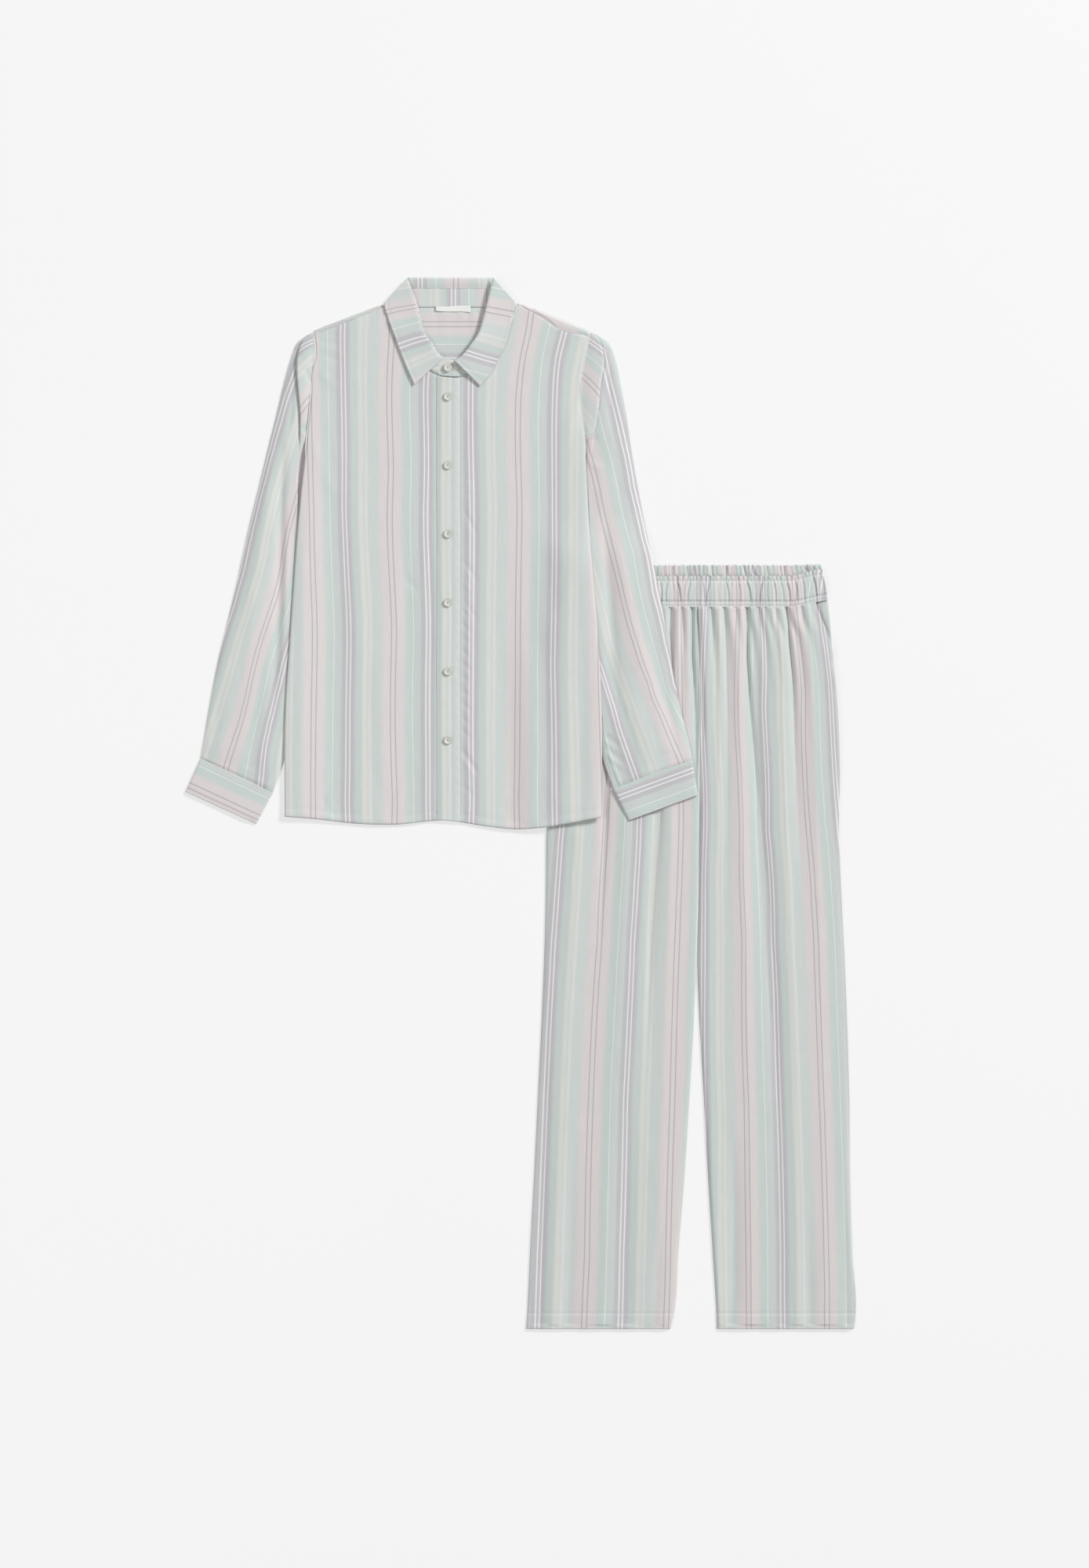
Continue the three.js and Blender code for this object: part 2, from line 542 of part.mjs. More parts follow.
// Sleeve: a flattened open tube with the tuck of its cap lying over it near the armhole.
function sleeve(rows) {
  const table = rows.map((row, i) => ({ ...row, at: i / (rows.length - 1) }));
  const names = ['outerX', 'outerD', 'innerX', 'innerD', 'tuck', 'rise'];
  const read = Object.fromEntries(names.map((name) => [name, reading(table, 'at', name)]));
  const steps = 18;
  const riser = 2.6;
  const rings = Array.from({ length: steps + 1 }, (_, i) => {
    const row = Object.fromEntries(names.map((name) => [name, read[name](i / steps)]));
    const width = Math.hypot(row.innerX - row.outerX, row.innerD - row.outerD);
    const tuckAt = width - row.tuck;
    const marks = [0, 0.25, 0.5, 0.75, 1].map((share) => share * tuckAt);
    const inside = [0, 0.5, 1].map((share) => lerp(Math.min(tuckAt + riser, width - 2.8), width, share));
    const places = [...marks, ...inside];
    const last = places.length - 1;
    const at = (place) => [
      lerp(row.outerX, row.innerX, place / width),
      lerp(row.outerD, row.innerD, place / width),
    ];
    const rest = (place) => trouserRest(...at(place));
    const lift = (place, k) => {
      const full = smooth(place / 26) * smooth((width - place) / 30);
      const cap = k > 4 && k < last ? capRise * row.rise : 0;
      return rest(place) + layer + cap + sleeveLoft * full * leftByCreases(...at(place));
    };
    const point = (place, height) => {
      const [x, d] = at(place);
      return [x, -d, height];
    };
    const inset = places.map((place, k) => place + (k === 0 ? wall : 0) - (k === last ? wall : 0));
    const middle = (k) => (rest(places[k]) + lift(places[k], k) + wall) / 2;
    const bulge = 0.7;
    const outer = [
      ...places.map((place) => point(place, rest(place))),
      point(width, middle(last)),
      ...places.map((place, k) => point(place, lift(place, k) + wall)).reverse(),
      point(-bulge, middle(0)),
    ];
    const inner = [
      ...inset.map((place, k) => point(place, rest(places[k]) + wall)),
      point(width - wall, middle(last)),
      ...inset.map((place, k) => point(place, lift(places[k], k))).reverse(),
      point(wall - bulge, middle(0)),
    ];
    return { outer, inner };
  });
  return tube(rings);
}

// Cuff: a flattened open tube of doubled cloth below the sleeve's end.
function cuff(corners) {
  const rings = [0, 0.5, 1].map((t) => {
    const from = [lerp(corners.seamX, corners.endX, t), lerp(corners.seamD, corners.endD, t)];
    const to = [lerp(corners.innerX, corners.innerEndX, t), lerp(corners.innerD, corners.innerEndD, t)];
    const width = Math.hypot(to[0] - from[0], to[1] - from[1]);
    const places = [0, 0.12, 0.35, 0.65, 0.88, 1].map((share) => share * width);
    const last = places.length - 1;
    const at = (place) => [lerp(from[0], to[0], place / width), lerp(from[1], to[1], place / width)];
    const rest = (place) => trouserRest(...at(place));
    const lift = (place) => rest(place) + doubleWall + seamGap
      + cuffLoft * smooth(place / 16) * smooth((width - place) / 16);
    const point = (place, height) => {
      const [x, d] = at(place);
      return [x, -d, height];
    };
    const inset = places.map((place, k) =>
      place + (k === 0 ? doubleWall : 0) - (k === last ? doubleWall : 0));
    return {
      outer: [...places.map((place) => point(place, rest(place))),
        ...places.map((place) => point(place, lift(place) + doubleWall)).reverse()],
      inner: [...inset.map((place, k) => point(place, rest(places[k]) + doubleWall)),
        ...inset.map((place, k) => point(place, lift(places[k]))).reverse()],
    };
  });
  return tube(rings);
}

// Button: a turned disc with a raised rim.
function buttonDisc() {
  const profile = [[0, 0], [0.8, 0], [1, 0.3], [1, 0.75], [0.88, 1], [0.7, 0.8], [0, 0.7]]
    .map(([radius, height]) => new THREE.Vector2(radius * buttonRadius, height * buttonHeight));
  return new THREE.LatheGeometry(profile, 10).rotateX(Math.PI / 2);
}

// Neck label: a small blank tag on the yoke under the neck seam.
function neckLabel() {
  const grid = [41, 49].map((d) => [-17.5, 6, 29].map((x) => [x, d]));
  return sheet(grid, () => collarRaise + layer, () => collarRaise + layer + 0.6);
}

// Columns of a gathered front: a crest, then for each gather its valley and two crest points.
function gatherColumns(from, to) {
  const chosen = gathers.filter((gather) => gather.across > from && gather.across < to);
  const columns = [{ across: from, valley: 1, run: 150 }];
  chosen.forEach((gather, i) => {
    const before = i === 0 ? from : chosen[i - 1].across;
    if (i > 0) {
      columns.push({ across: lerp(before, gather.across, 0.33), valley: 0, run: 0 });
      columns.push({ across: lerp(before, gather.across, 0.67), valley: 0, run: 0 });
    } else {
      columns.push({ across: lerp(before, gather.across, 0.5), valley: 0, run: 0 });
    }
    columns.push({ across: gather.across, valley: gather.depth, run: gather.run });
  });
  columns.push({ across: lerp(chosen.at(-1).across, to, 0.5), valley: 0, run: 0 });
  columns.push({ across: to, valley: 1, run: 150 });
  return columns;
}

// The slant pocket cuts the right front back from the side seam, most at the band.
const pocketCut = (down) => 17 * (1 - smooth((down - 42) / 76));
const leftColumns = gatherColumns(trouserLeft(bandSeam), leftInner(bandSeam));
const rightColumns = gatherColumns(rightInner(bandSeam), trouserRight(bandSeam) - pocketCut(bandSeam));

const bandEndLift = (across) => -9 * smooth((Math.abs(across) - 118) / 50);
const seamDown = (across) => bandSeam + bandEndLift(across);

// Front leg: gathered into the band, smooth towards the hem. The slant pocket cuts the right one.
function trouserFront(side) {
  const outer = side === 'left' ? trouserLeft : trouserRight;
  const inner = side === 'left' ? leftInner : rightInner;
  const cut = (down) => (side === 'right' ? pocketCut(down) : 0);
  const columns = side === 'left' ? leftColumns : rightColumns;
  const from = columns[0].across;
  const to = columns.at(-1).across;
  const grid = legRows.map((run) => columns.map(({ across }, c) => {
    const start = seamDown(across) + 0.3;
    const down = lerp(start, trouserLength, run / legRows.at(-1));
    const share = lerp((across - from) / (to - from), c / (columns.length - 1), smooth(run / 500));
    const left = side === 'left' ? outer(down) : inner(down);
    const right = side === 'left' ? inner(down) : outer(down) - cut(down);
    return [lerp(across, lerp(left, right, share), smooth(run / 38)), down];
  }));
  const under = (x, d, r, c) => {
    const down = legRows[r];
    const { valley, run } = columns[c];
    const edge = c === 0 || c === columns.length - 1;
    const fade = edge ? 1 : 1 - smooth(down / Math.max(run, 1));
    const pocket = side === 'right' ? pocketRaise * smooth((x - 95) / 40) * (1 - smooth((d - 125) / 60)) : 0;
    return layer + pocket + fullness(down) * (1 - valley * fade);
  };
  return sheet(grid, under);
}

function trouserBack(side) {
  const outer = side === 'left' ? trouserLeft : trouserRight;
  const inner = side === 'left' ? leftInner : rightInner;
  const grid = [0, 60, 130, 210, 300, 395, 470, 545, 650, 780, 900, 931, 948].map((row) =>
    [0, 0.25, 0.5, 0.75, 1].map((share) => {
      const down = row + trouserLength - 948;
      return [lerp(outer(down) - Math.sign(outer(down)) * 0.4, inner(down), share), down];
    }));
  return sheet(grid, () => 0);
}

function waistbandFront() {
  const sideEnd = { across: 168, valley: 1, run: 0 };
  const columns = [...leftColumns, ...rightColumns.slice(1), sideEnd];
  const grid = frontBandRows.map(({ share }) => columns.map(({ across }) => [
    lerp(across * 0.985, across, share),
    lerp(frontBandTop, bandSeam, share) + bandEndLift(across),
  ]));
  return sheet(grid, (x, d, r, c) => {
    const { crest, valley } = frontBandRows[r];
    const edge = c === 0 || c === columns.length - 1;
    return 2 * layer + 0.9 + (waistLoft - 1.4) * (edge ? 0 : lerp(crest, valley, columns[c].valley));
  });
}

function waistbandBack() {
  const waves = 46;
  const grid = backBandRows.map(({ down }) => Array.from({ length: waves + 1 }, (_, i) => {
    const share = i / waves;
    return [lerp(-166, 163, share) * lerp(0.985, 1, down / 54), down];
  }));
  const under = (x, d, r, c) => (c % 2 ? backBandRows[r].crest : backBandRows[r].valley);
  return sheet(grid, under);
}

// Facing of the slant pocket: it shows between the slanted edge and the side seam.
function pocketFacing() {
  const grid = [56, 70, 85, 100, 118].map((down) => [0, 0.5, 1].map((share) => {
    const edge = trouserRight(down) - 0.4;
    return [lerp(edge - 22, edge, share), down - (1 - share) * 2];
  }));
  return sheet(grid, () => layer);
}

const mint = 0xc9d3cf;
const grey = 0xc8cece;
const pink = 0xdbd5d5;
const pearl = 0xd9dcda;

function piece(name, geometry, color, roughness = 0.85) {
  geometry.computeVertexNormals();
  const mesh = new THREE.Mesh(geometry, new THREE.MeshStandardMaterial({ color, roughness, metalness: 0 }));
  mesh.name = name;
  return mesh;
}

const trousers = new THREE.Group();
trousers.position.set(trouserMiddleX, trouserTopY, 0);
trousers.add(
  piece('trouser_back_left', trouserBack('left'), grey),
  piece('trouser_back_right', trouserBack('right'), grey),
  piece('trouser_front_left', trouserFront('left'), mint),
  piece('trouser_front_right', trouserFront('right'), mint),
  piece('waistband_back', waistbandBack(), pink),
  piece('waistband_front', waistbandFront(), mint),
  piece('pocket_facing', pocketFacing(), grey),
);

const shirt = new THREE.Group();
shirt.position.set(shirtMiddleX, shirtTopY, 0);
shirt.add(
  piece('shirt_back', shirtBack(), grey),
  piece('shirt_yoke', shirtYoke(), pink),
  piece('sleeve_left', sleeve(sleeveLeft), mint),
  piece('sleeve_right', sleeve(sleeveRight), mint),
  piece('cuff_left', cuff(cuffLeft), pink),
  piece('cuff_right', cuff(cuffRight), grey),
  piece('shirt_front_left', shirtFront('left'), mint),
  piece('shirt_front_right', shirtFront('right'), pink),
  piece('front_placket', frontPlacket(), grey),
  piece('collar_stand', collarStand(), grey),
  piece('collar', collarPiece(), mint),
  piece('neck_label', neckLabel(), 0xf0f0ee),
);

function addButton(name, down, height) {
  const button = piece(name, buttonDisc(), pearl, 0.3);
  button.position.set(-0.5, -down, height + seamGap);
  shirt.add(button);
}

addButton('button_stand', standButtonDown, collarRaise + 2 * layer + wall);
for (let i = 0; i < placketButtons; i += 1) {
  const down = firstButtonDown + i * buttonPitch;
  addButton(`button_${i + 1}`, down, bodyRest(0, down, 0) + 3 * layer + wall + frontFullness(0, down));
}

const group = new THREE.Group();
group.add(trousers, shirt);

export default group;
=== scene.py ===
import math
import bpy
import numpy as np
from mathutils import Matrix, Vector
from mathutils.bvhtree import BVHTree

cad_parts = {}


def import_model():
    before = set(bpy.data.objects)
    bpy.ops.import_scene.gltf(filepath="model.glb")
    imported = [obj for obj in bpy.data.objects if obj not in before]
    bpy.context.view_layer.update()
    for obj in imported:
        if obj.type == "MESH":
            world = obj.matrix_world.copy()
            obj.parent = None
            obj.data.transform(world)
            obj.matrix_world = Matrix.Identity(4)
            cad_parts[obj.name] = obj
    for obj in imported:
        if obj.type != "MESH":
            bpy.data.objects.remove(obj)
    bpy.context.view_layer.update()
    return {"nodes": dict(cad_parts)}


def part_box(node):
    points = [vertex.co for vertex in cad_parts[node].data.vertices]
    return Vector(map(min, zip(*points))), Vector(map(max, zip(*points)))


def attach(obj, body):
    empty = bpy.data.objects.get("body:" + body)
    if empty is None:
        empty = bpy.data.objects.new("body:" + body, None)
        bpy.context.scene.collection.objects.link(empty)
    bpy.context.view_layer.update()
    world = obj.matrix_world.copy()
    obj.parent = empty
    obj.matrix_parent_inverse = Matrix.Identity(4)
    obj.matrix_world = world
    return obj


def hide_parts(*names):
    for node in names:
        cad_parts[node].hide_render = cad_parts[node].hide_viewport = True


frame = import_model()

# Plans are in millimetres, "across" to the right of a garment's middle line and "down" from its
# top edge. SHIRT and TROUSER are where the two plans start in the frame, and the pixels beside
# them are the same points in the photo.
MM = 0.001
SHIRT, SHIRT_PIXEL = (-94.5, 690.5), (572.0, 354.0)
TROUSER, TROUSER_PIXEL = (232.0, 312.5), (889.0, 721.0)
PHOTO_SCALE = 1.03
PHOTO_HEIGHT = 2000
REPEAT = 107.0
# A shell's thickness, and how far it stays below the top and above the underside of its solid
CLOTH = 0.45
SINK = 0.3
UNDERSIDE_GAP = 0.15
YOKE_DEPTH = 150.0
CAP_DEPTH = 208.0
CAP_TURN = 98.0
TUCK_GAP = 0.2
SHIRT_LENGTH, SHIRT_HEM = 714.0, 11.0
PLACKET_HALF = 15.5
CUFF_LENGTH, CUFF_SEWING, CUFF_WALL = 48.0, 3.0, 0.8
LEAF_SEWING, LEAF_WIDTH = 5.0, 41.0
TROUSER_LENGTH, TROUSER_HEM = 1003.0, 20.5
CROTCH = 300.0
BAND_TOP, BAND_SEAM = 14.5, 54.5
STITCH_ROWS = (6.2, 33.5, 39.0)
# How much higher the folds and creases stand than their tables say
SLEEVE_FOLD_GAIN, SLEEVE_CREASE_GAIN = 1.9, 1.3
GATHER_GAIN, LEG_FOLD_GAIN = 2.1, 2.0

# Outlines, as in the frame's solids
BODY = dict(
    down=[70, 104, 126, 150, 175, 217, 284, 371, 474, 562, 714],
    left=[-176, -174, -179.5, -179.5, -182, -186, -193.5, -201, -208, -214, -215],
    right=[184, 178, 173.6, 172.8, 173.6, 178.6, 182.4, 188, 196.6, 201, 201])
HEM = dict(
    across=[-215, -177, -115, -74, -2, 49, 90, 111, 201],
    down=[708.5, 711.5, 718, 719, 713.5, 721, 725, 724, 709.5])
SHOULDER = dict(
    across=[-190, -172, -140, -108, -86, 86, 100, 117, 142, 161, 178, 190],
    fold=[76, 68, 55.6, 43.3, 35.4, 32.5, 37, 43, 53, 61, 68, 73],
    seam=[83, 75, 61.6, 49, 40, 35.4, 40.5, 50, 67, 73.5, 77, 80])
NECK = dict(
    across=[-86, -71, -62, -53, -38, -21, 0, 15, 29, 45, 62, 71, 78, 86],
    down=[40, 42, 58, 84, 111, 126, 131, 131, 126, 111, 84, 58, 40, 35.4])
TROUSERS = dict(
    down=[0, 20, 61, 112, 184, 260, 349, 450, 521, 596, 699, 802, 905, 986, 1003],
    left=[-167, -169, -175, -183, -192, -197, -198, -199, -201, -204, -209, -214, -219.4, -223.3,
          -224.5],
    left_inner=[-0.2, 0, 1.4, 3, 4.2, 3.6, 2.6, 1.4, -0.2, -4, -10, -16.5, -24.7, -31, -35],
    right_inner=[0.2, 0.4, 1.8, 3.4, 4.6, 4, 3, 1.8, 0.4, 3, 9, 14.4, 20.6, 25.3, 25.8],
    right=[163.5, 168, 174, 178, 184.5, 187.5, 186.5, 190.5, 194, 197, 200, 201, 204, 208, 206])
# Each row: outer fold across and down, inner edge across and down, reach of the cap's tuck, its rise
SLEEVE_LEFT = [
    (-186.5, 76, -178, 73.2, 6, 0), (-199, 86.5, -176.2, 94, 19, 0.6),
    (-208, 109, -177.6, 114, 22, 0.9), (-216.5, 140, -180.6, 140, 17.5, 1),
    (-226.6, 183, -184, 183, 10.5, 1), (-237, 224.5, -188.2, 223, 7, 0.6),
    (-247, 266, -188.5, 274, 8, 0), (-264, 336, -193, 346, 8, 0), (-282, 418, -199, 430, 8, 0),
    (-302, 500.5, -204, 519, 8, 0), (-314, 562, -209, 588, 8, 0), (-321, 603.5, -216, 636, 8, 0),
    (-326.5, 634.2, -231.8, 679.6, 8, 0)]
SLEEVE_RIGHT = [
    (194, 75, 186.4, 72.6, 6, 0), (210, 86.5, 182.6, 94, 19, 0.5), (219.5, 109, 178, 115, 27, 0.9),
    (226, 140, 174.4, 142, 26, 1), (234, 183, 175.4, 183, 20.5, 1),
    (240, 224.5, 180.6, 223, 8, 0.6), (247, 266, 176.5, 276, 8, 0), (260.5, 336, 178, 348, 8, 0),
    (277.5, 418, 182, 433, 8, 0), (291.5, 500.5, 188.5, 523, 8, 0), (303.5, 562, 195, 588, 8, 0),
    (314, 603.5, 203, 632, 8, 0), (320.6, 636.2, 218, 674.2, 8, 0)]
CUFF_LEFT = [(-325.6, 631.4, -230.7, 676.9), (-345.4, 675.7, -252.4, 718)]
CUFF_RIGHT = [(319.9, 633.5, 216.2, 671.7), (327.5, 680, 236.9, 713.3)]
# Each row: roll edge across and down, outer edge across and down
LEAF_LEFT = [
    (-53.5, 0.8, -81.5, 31), (-47.5, 18, -84.3, 36), (-42, 36, -80.3, 51.5),
    (-33.5, 71, -70.5, 78), (-24.5, 83, -63, 99), (-14.5, 99.5, -54.5, 119.5),
    (-7.2, 106.3, -44.8, 141.6)]
LEAF_RIGHT = [
    (58.7, 0.8, 87.4, 32.5), (55, 15, 87, 38), (49.5, 38, 84.5, 52), (40.5, 71, 76.5, 84),
    (30, 87.5, 66.5, 105), (19.6, 101, 56, 125.5), (8.3, 110, 41.7, 143.2)]
STAND_LEFT = [
    (-48, 16, -69, 32), (-44, 27, -64, 48), (-40, 37, -60, 58), (-31, 72, -51, 84),
    (-22, 85, -36.5, 109), (-10, 102, -20.5, 124.5), (1, 107, 0, 130.4), (9, 111, 8, 130.6),
    (14, 120, 13.5, 130.4)]
STAND_RIGHT = [
    (53, 16, 74, 32), (51.5, 27, 72, 47), (50, 37, 69.5, 58), (39, 73, 60, 84),
    (28, 90, 43.5, 109.5), (16, 103, 28, 124.6), (4, 109, 14, 130), (-8, 112, -4, 130),
    (-14, 120, -13.5, 128)]

# Stripe charts: under each place in the repeat, pixels of the photo that lie on it. The white
# pairs lie at whole numbers.
CHARTS = {
    "front_left": {
        -0.445: [(393, 440), (397, 650), (401, 800), (399, 1020)],
        0: [(437, 430), (438, 500), (439, 650), (443, 750), (444, 900), (443, 1020)],
        0.25: [(465, 600), (470, 850)],
        0.555: [(499, 430), (498, 600), (502, 800), (503, 1020)],
        1: [(543, 500), (543, 650), (546, 850), (546, 1020)],
        1.25: [(571, 500), (571, 750), (571, 1020)]},
    "front_right": {
        -0.27: [(571, 500), (571, 1020)],
        0: [(602, 450), (602, 650), (601, 850), (602, 1020)],
        0.25: [(628, 500), (628, 1020)],
        0.555: [(673, 425), (663, 480), (662, 650), (660, 850), (658, 1020)],
        1: [(719, 427), (712, 455), (709, 480), (707, 650), (705, 850), (707, 1020)],
        1.25: [(747, 440), (737, 490), (733, 650), (732, 850), (736, 1020)]},
    "sleeve_left": {
        0: [(376, 479), (366, 506), (356.5, 539), (347, 573), (337, 611.5), (330, 638),
            (313.3, 708), (309, 728), (302.8, 750), (296.7, 772)],
        0.25: [(373.3, 563.5), (354, 628), (346, 664), (338, 706), (327, 747), (316, 783),
               (305, 819), (295, 855.6), (284, 891.7), (274.4, 922), (264.7, 950)],
        0.567: [(368.5, 676), (363.7, 700), (355.2, 748.6), (349.4, 769), (337, 805.6),
                (324.4, 850), (316, 889), (307.8, 922), (296.7, 955.6), (289.7, 977.8)],
        1: [(366, 833), (359, 861), (352, 889), (344, 922), (338, 950), (332.8, 997)],
        -0.12: [(364, 475), (344, 536), (325, 608), (301, 704), (285, 769)],
        1.12: [(371, 864), (356, 925)]},
    "cap_left": {
        0: [(380, 447), (390, 440), (401, 435)],
        0.25: [(381, 478), (390, 468), (401, 458)],
        0.555: [(383, 524), (392, 512), (402, 500)],
        0.76: [(388, 548)]},
    "sleeve_right": {
        1: [(771, 460), (775, 480), (791, 545), (806, 620), (822, 690), (835, 755), (850, 820),
            (862, 875)],
        0.81: [(772, 560), (787, 620), (806, 700)],
        0.555: [(753, 590), (766, 648), (781, 712), (799, 785), (811, 825), (827, 870),
                (842, 910), (868, 972)],
        0.25: [(762, 750), (771, 790), (782, 835), (796, 875), (811, 915), (837, 985)],
        0: [(766, 853), (773, 875), (781, 900), (789, 930), (812, 995)],
        1.13: [(790, 475), (806, 541), (821, 616), (837, 686), (850, 751), (865, 816), (876, 871)]},
    "cap_right": {
        1: [(752, 435), (760, 441), (768, 447)],
        0.77: [(752, 460)],
        0.555: [(741, 479), (752, 489), (764, 502)],
        0.25: [(745, 527), (752, 536), (759, 548)]},
    "leg_left": {
        0: [(742, 785), (716, 1060), (706, 1200), (696, 1400), (688, 1600), (685, 1690)],
        0.555: [(771, 1070), (764, 1200), (753, 1400), (748, 1600)],
        1: [(822, 785), (815, 1060), (807, 1200), (798, 1400), (793, 1600), (791, 1690)],
        1.555: [(866, 785), (868, 1060), (863, 1200), (857, 1400), (851, 1620)]},
    "leg_right": {
        0: [(899, 785), (899, 1000), (897, 1200), (897, 1600)],
        0.25: [(917, 800), (919, 1100), (920, 1350), (923, 1600)],
        0.555: [(941, 785), (945, 1060), (948, 1200), (951, 1400), (954, 1650)],
        1: [(972, 785), (974, 900), (979, 1060), (986, 1200), (993, 1400), (998, 1660)],
        1.25: [(996, 850), (1002, 1060), (1009, 1200), (1017, 1400), (1023, 1650)],
        1.555: [(1016, 800), (1024, 880), (1034, 1100), (1040, 1200), (1047, 1400), (1054, 1650)],
        2: [(1047, 785), (1059, 885)]},
    "leaf_left": {
        -0.445: [(497, 397), (529, 391)],
        -0.19: [(500, 421), (532, 412)],
        0: [(509, 442), (546, 431)],
        0.25: [(516, 469), (556, 452)]},
    "leaf_right": {
        0.555: [(621, 396), (653, 402)],
        0.25: [(609, 428), (643, 437)],
        0: [(597, 451), (636, 462)],
        -0.19: [(592, 471), (618, 478)]},
    "shoulder_strip": {
        0.7: [(455, 401)],
        0.6: [(470, 396)],
        0.85: [(440, 408)],
        0.92: [(400, 420)]},
    "shoulder_strip_right": {
        0.54: [(675, 396), (695, 410)],
        0.595: [(688, 400), (710, 418)],
        0.76: [(740, 416)],
        0.88: [(765, 428)]},
}


def reading(at, value):
    """A smooth curve through a table, read on arrays; past its ends it stays at its last value."""
    at, value = np.asarray(at, float), np.asarray(value, float)
    slope = np.gradient(value, at)

    def read(place):
        place = np.clip(np.asarray(place, float), at[0], at[-1])
        i = np.clip(np.searchsorted(at, place, side="right") - 1, 0, len(at) - 2)
        span = at[i + 1] - at[i]
        t = (place - at[i]) / span
        rise = value[i + 1] - value[i]
        bend_a, bend_b = slope[i] * span - rise, rise - slope[i + 1] * span
        return value[i] + rise * t + t * (1 - t) * (bend_a * (1 - t) + bend_b * t)
    return read


def smooth(t):
    t = np.clip(t, 0.0, 1.0)
    return t * t * (3 - 2 * t)


def bell(distance, spread):
    """1 at no distance, falling to nought on both sides."""
    return np.exp(-0.5 * (distance / spread) ** 2)


def lerp(a, b, t):
    return a + (b - a) * t


def constant(value):
    return lambda place: np.zeros(np.shape(place)) + value


def unit_grid(rows, columns):
    """For each point of a grid, its share of the way down and of the way across."""
    return np.meshgrid(np.linspace(0, 1, rows), np.linspace(0, 1, columns), indexing="ij")


def fitted_grid(first, last, top, bottom, t, share, down, rounds):
    """A grid whose sides depend on its depth, and whose top and bottom depend on its width."""
    for _ in range(rounds):
        across = lerp(first(down), last(down), share)
        down = lerp(top(across), bottom(across), t)
    return across, down


def along_rows(rows, steps, count=4):
    """A table's first columns as smooth curves, each read at even steps from first to last row."""
    rows = np.asarray(rows, float)
    at, t = np.linspace(0, 1, len(rows)), np.linspace(0, 1, steps + 1)
    return [reading(at, rows[:, k])(t)[:, None] for k in range(count)]


def ruled(rows, shares, steps):
    """A grid between the two edges of a table's rows."""
    x1, d1, x2, d2 = along_rows(rows, steps)
    shares = np.asarray(shares, float)
    return lerp(x1, x2, shares), lerp(d1, d2, shares)


def travelled(points):
    """How far each point of a line lies from the first, along the line."""
    return np.concatenate([[0], np.cumsum(np.hypot(*np.diff(points, axis=0).T))])


body_left = reading(BODY["down"], BODY["left"])
body_right = reading(BODY["down"], BODY["right"])
hem = reading(HEM["across"], HEM["down"])
shoulder_fold = reading(SHOULDER["across"], SHOULDER["fold"])
shoulder_seam = reading(SHOULDER["across"], SHOULDER["seam"])
neck = reading(NECK["across"], NECK["down"])
trouser = {key: reading(TROUSERS["down"], TROUSERS[key]) for key in TROUSERS if key != "down"}


def thin_plate(distance):
    return distance ** 2 * np.log(np.maximum(distance, 1e-6))


def stripe_field(part):
    """The place in the repeat as a smooth surface through a part's chart, on a garment's plan."""
    chart = [(x, y, place) for place, line in CHARTS[part].items() for x, y in line]
    chart = np.asarray(chart, float)
    pixel = TROUSER_PIXEL if part.startswith("leg") else SHIRT_PIXEL
    knots = (chart[:, :2] - pixel) * PHOTO_SCALE / 100
    count = len(knots)
    apart = np.linalg.norm(knots[:, None] - knots[None], axis=2)
    bend = thin_plate(apart) + 2e-4 * np.eye(count)
    flat = np.column_stack([np.ones(count), knots])
    system = np.block([[bend, flat], [flat.T, np.zeros((3, 3))]])
    weights = np.linalg.solve(system, np.concatenate([chart[:, 2], np.zeros(3)]))

    def read(across, down):
        place = np.stack(np.broadcast_arrays(across, down), -1) / 100
        total = weights[-3] + weights[-2] * place[..., 0] + weights[-1] * place[..., 1]
        for knot, weight in zip(knots, weights):
            total = total + weight * thin_plate(np.linalg.norm(place - knot, axis=-1))
        return total
    return read


FIELDS = {part: stripe_field(part) for part in CHARTS}


def phase(part, across, down):
    """Stripe place in repeats: whole numbers fall on the white pairs."""
    return FIELDS[part](across, down)


# Heights of the frame's solids
DOWNWARD, UPWARD = Vector((0, 0, -1)), Vector((0, 0, 1))
RAY_START = 1.0
NEAR_HEIGHT = 0.01


def surface(mesh):
    points = [v.co[:] for v in mesh.vertices]
    return BVHTree.FromPolygons(points, [tuple(p.vertices) for p in mesh.polygons])


class Solid:
    """One of the frame's solids, whose heights are read by rays from above or from below."""

    def __init__(self, node, origin):
        self.tree = surface(frame["nodes"][node].data)
        self.origin = origin

    def ray(self, x, y, start, way):
        hit = self.tree.ray_cast(Vector((x, y, start)), way)[0]
        return np.nan if hit is None else hit.z / MM

    def height(self, across, down, start, way):
        out = np.full(across.shape, np.nan)
        for i in np.ndindex(across.shape):
            x, y = (self.origin[0] + across[i]) * MM, (self.origin[1] - down[i]) * MM
            out[i] = self.ray(x, y, start, way)
            if np.isnan(out[i]):
                near = self.tree.find_nearest(Vector((x, y, NEAR_HEIGHT)))[0]
                out[i] = self.ray(near.x, near.y, start, way)
        return filled(out)

    def top(self, across, down, rows, columns):
        """The upper face without its facets, a little lower."""
        seen = self.height(across, down, RAY_START, DOWNWARD)
        return soften(seen, rows, columns) - SINK

    def underside(self, across, down, rows, columns):
        """The lower face without its facets, a little higher."""
        seen = self.height(across, down, -RAY_START, UPWARD)
        return soften(seen, rows, columns) + UNDERSIDE_GAP


def filled(z):
    """Fills what a ray missed from the nearest places in its row, then in its column."""
    for grid in (z, z.T):
        for row in grid:
            bad = np.isnan(row)
            if bad.any() and not bad.all():
                good = np.flatnonzero(~bad)
                row[bad] = np.interp(np.flatnonzero(bad), good, row[good])
    return z


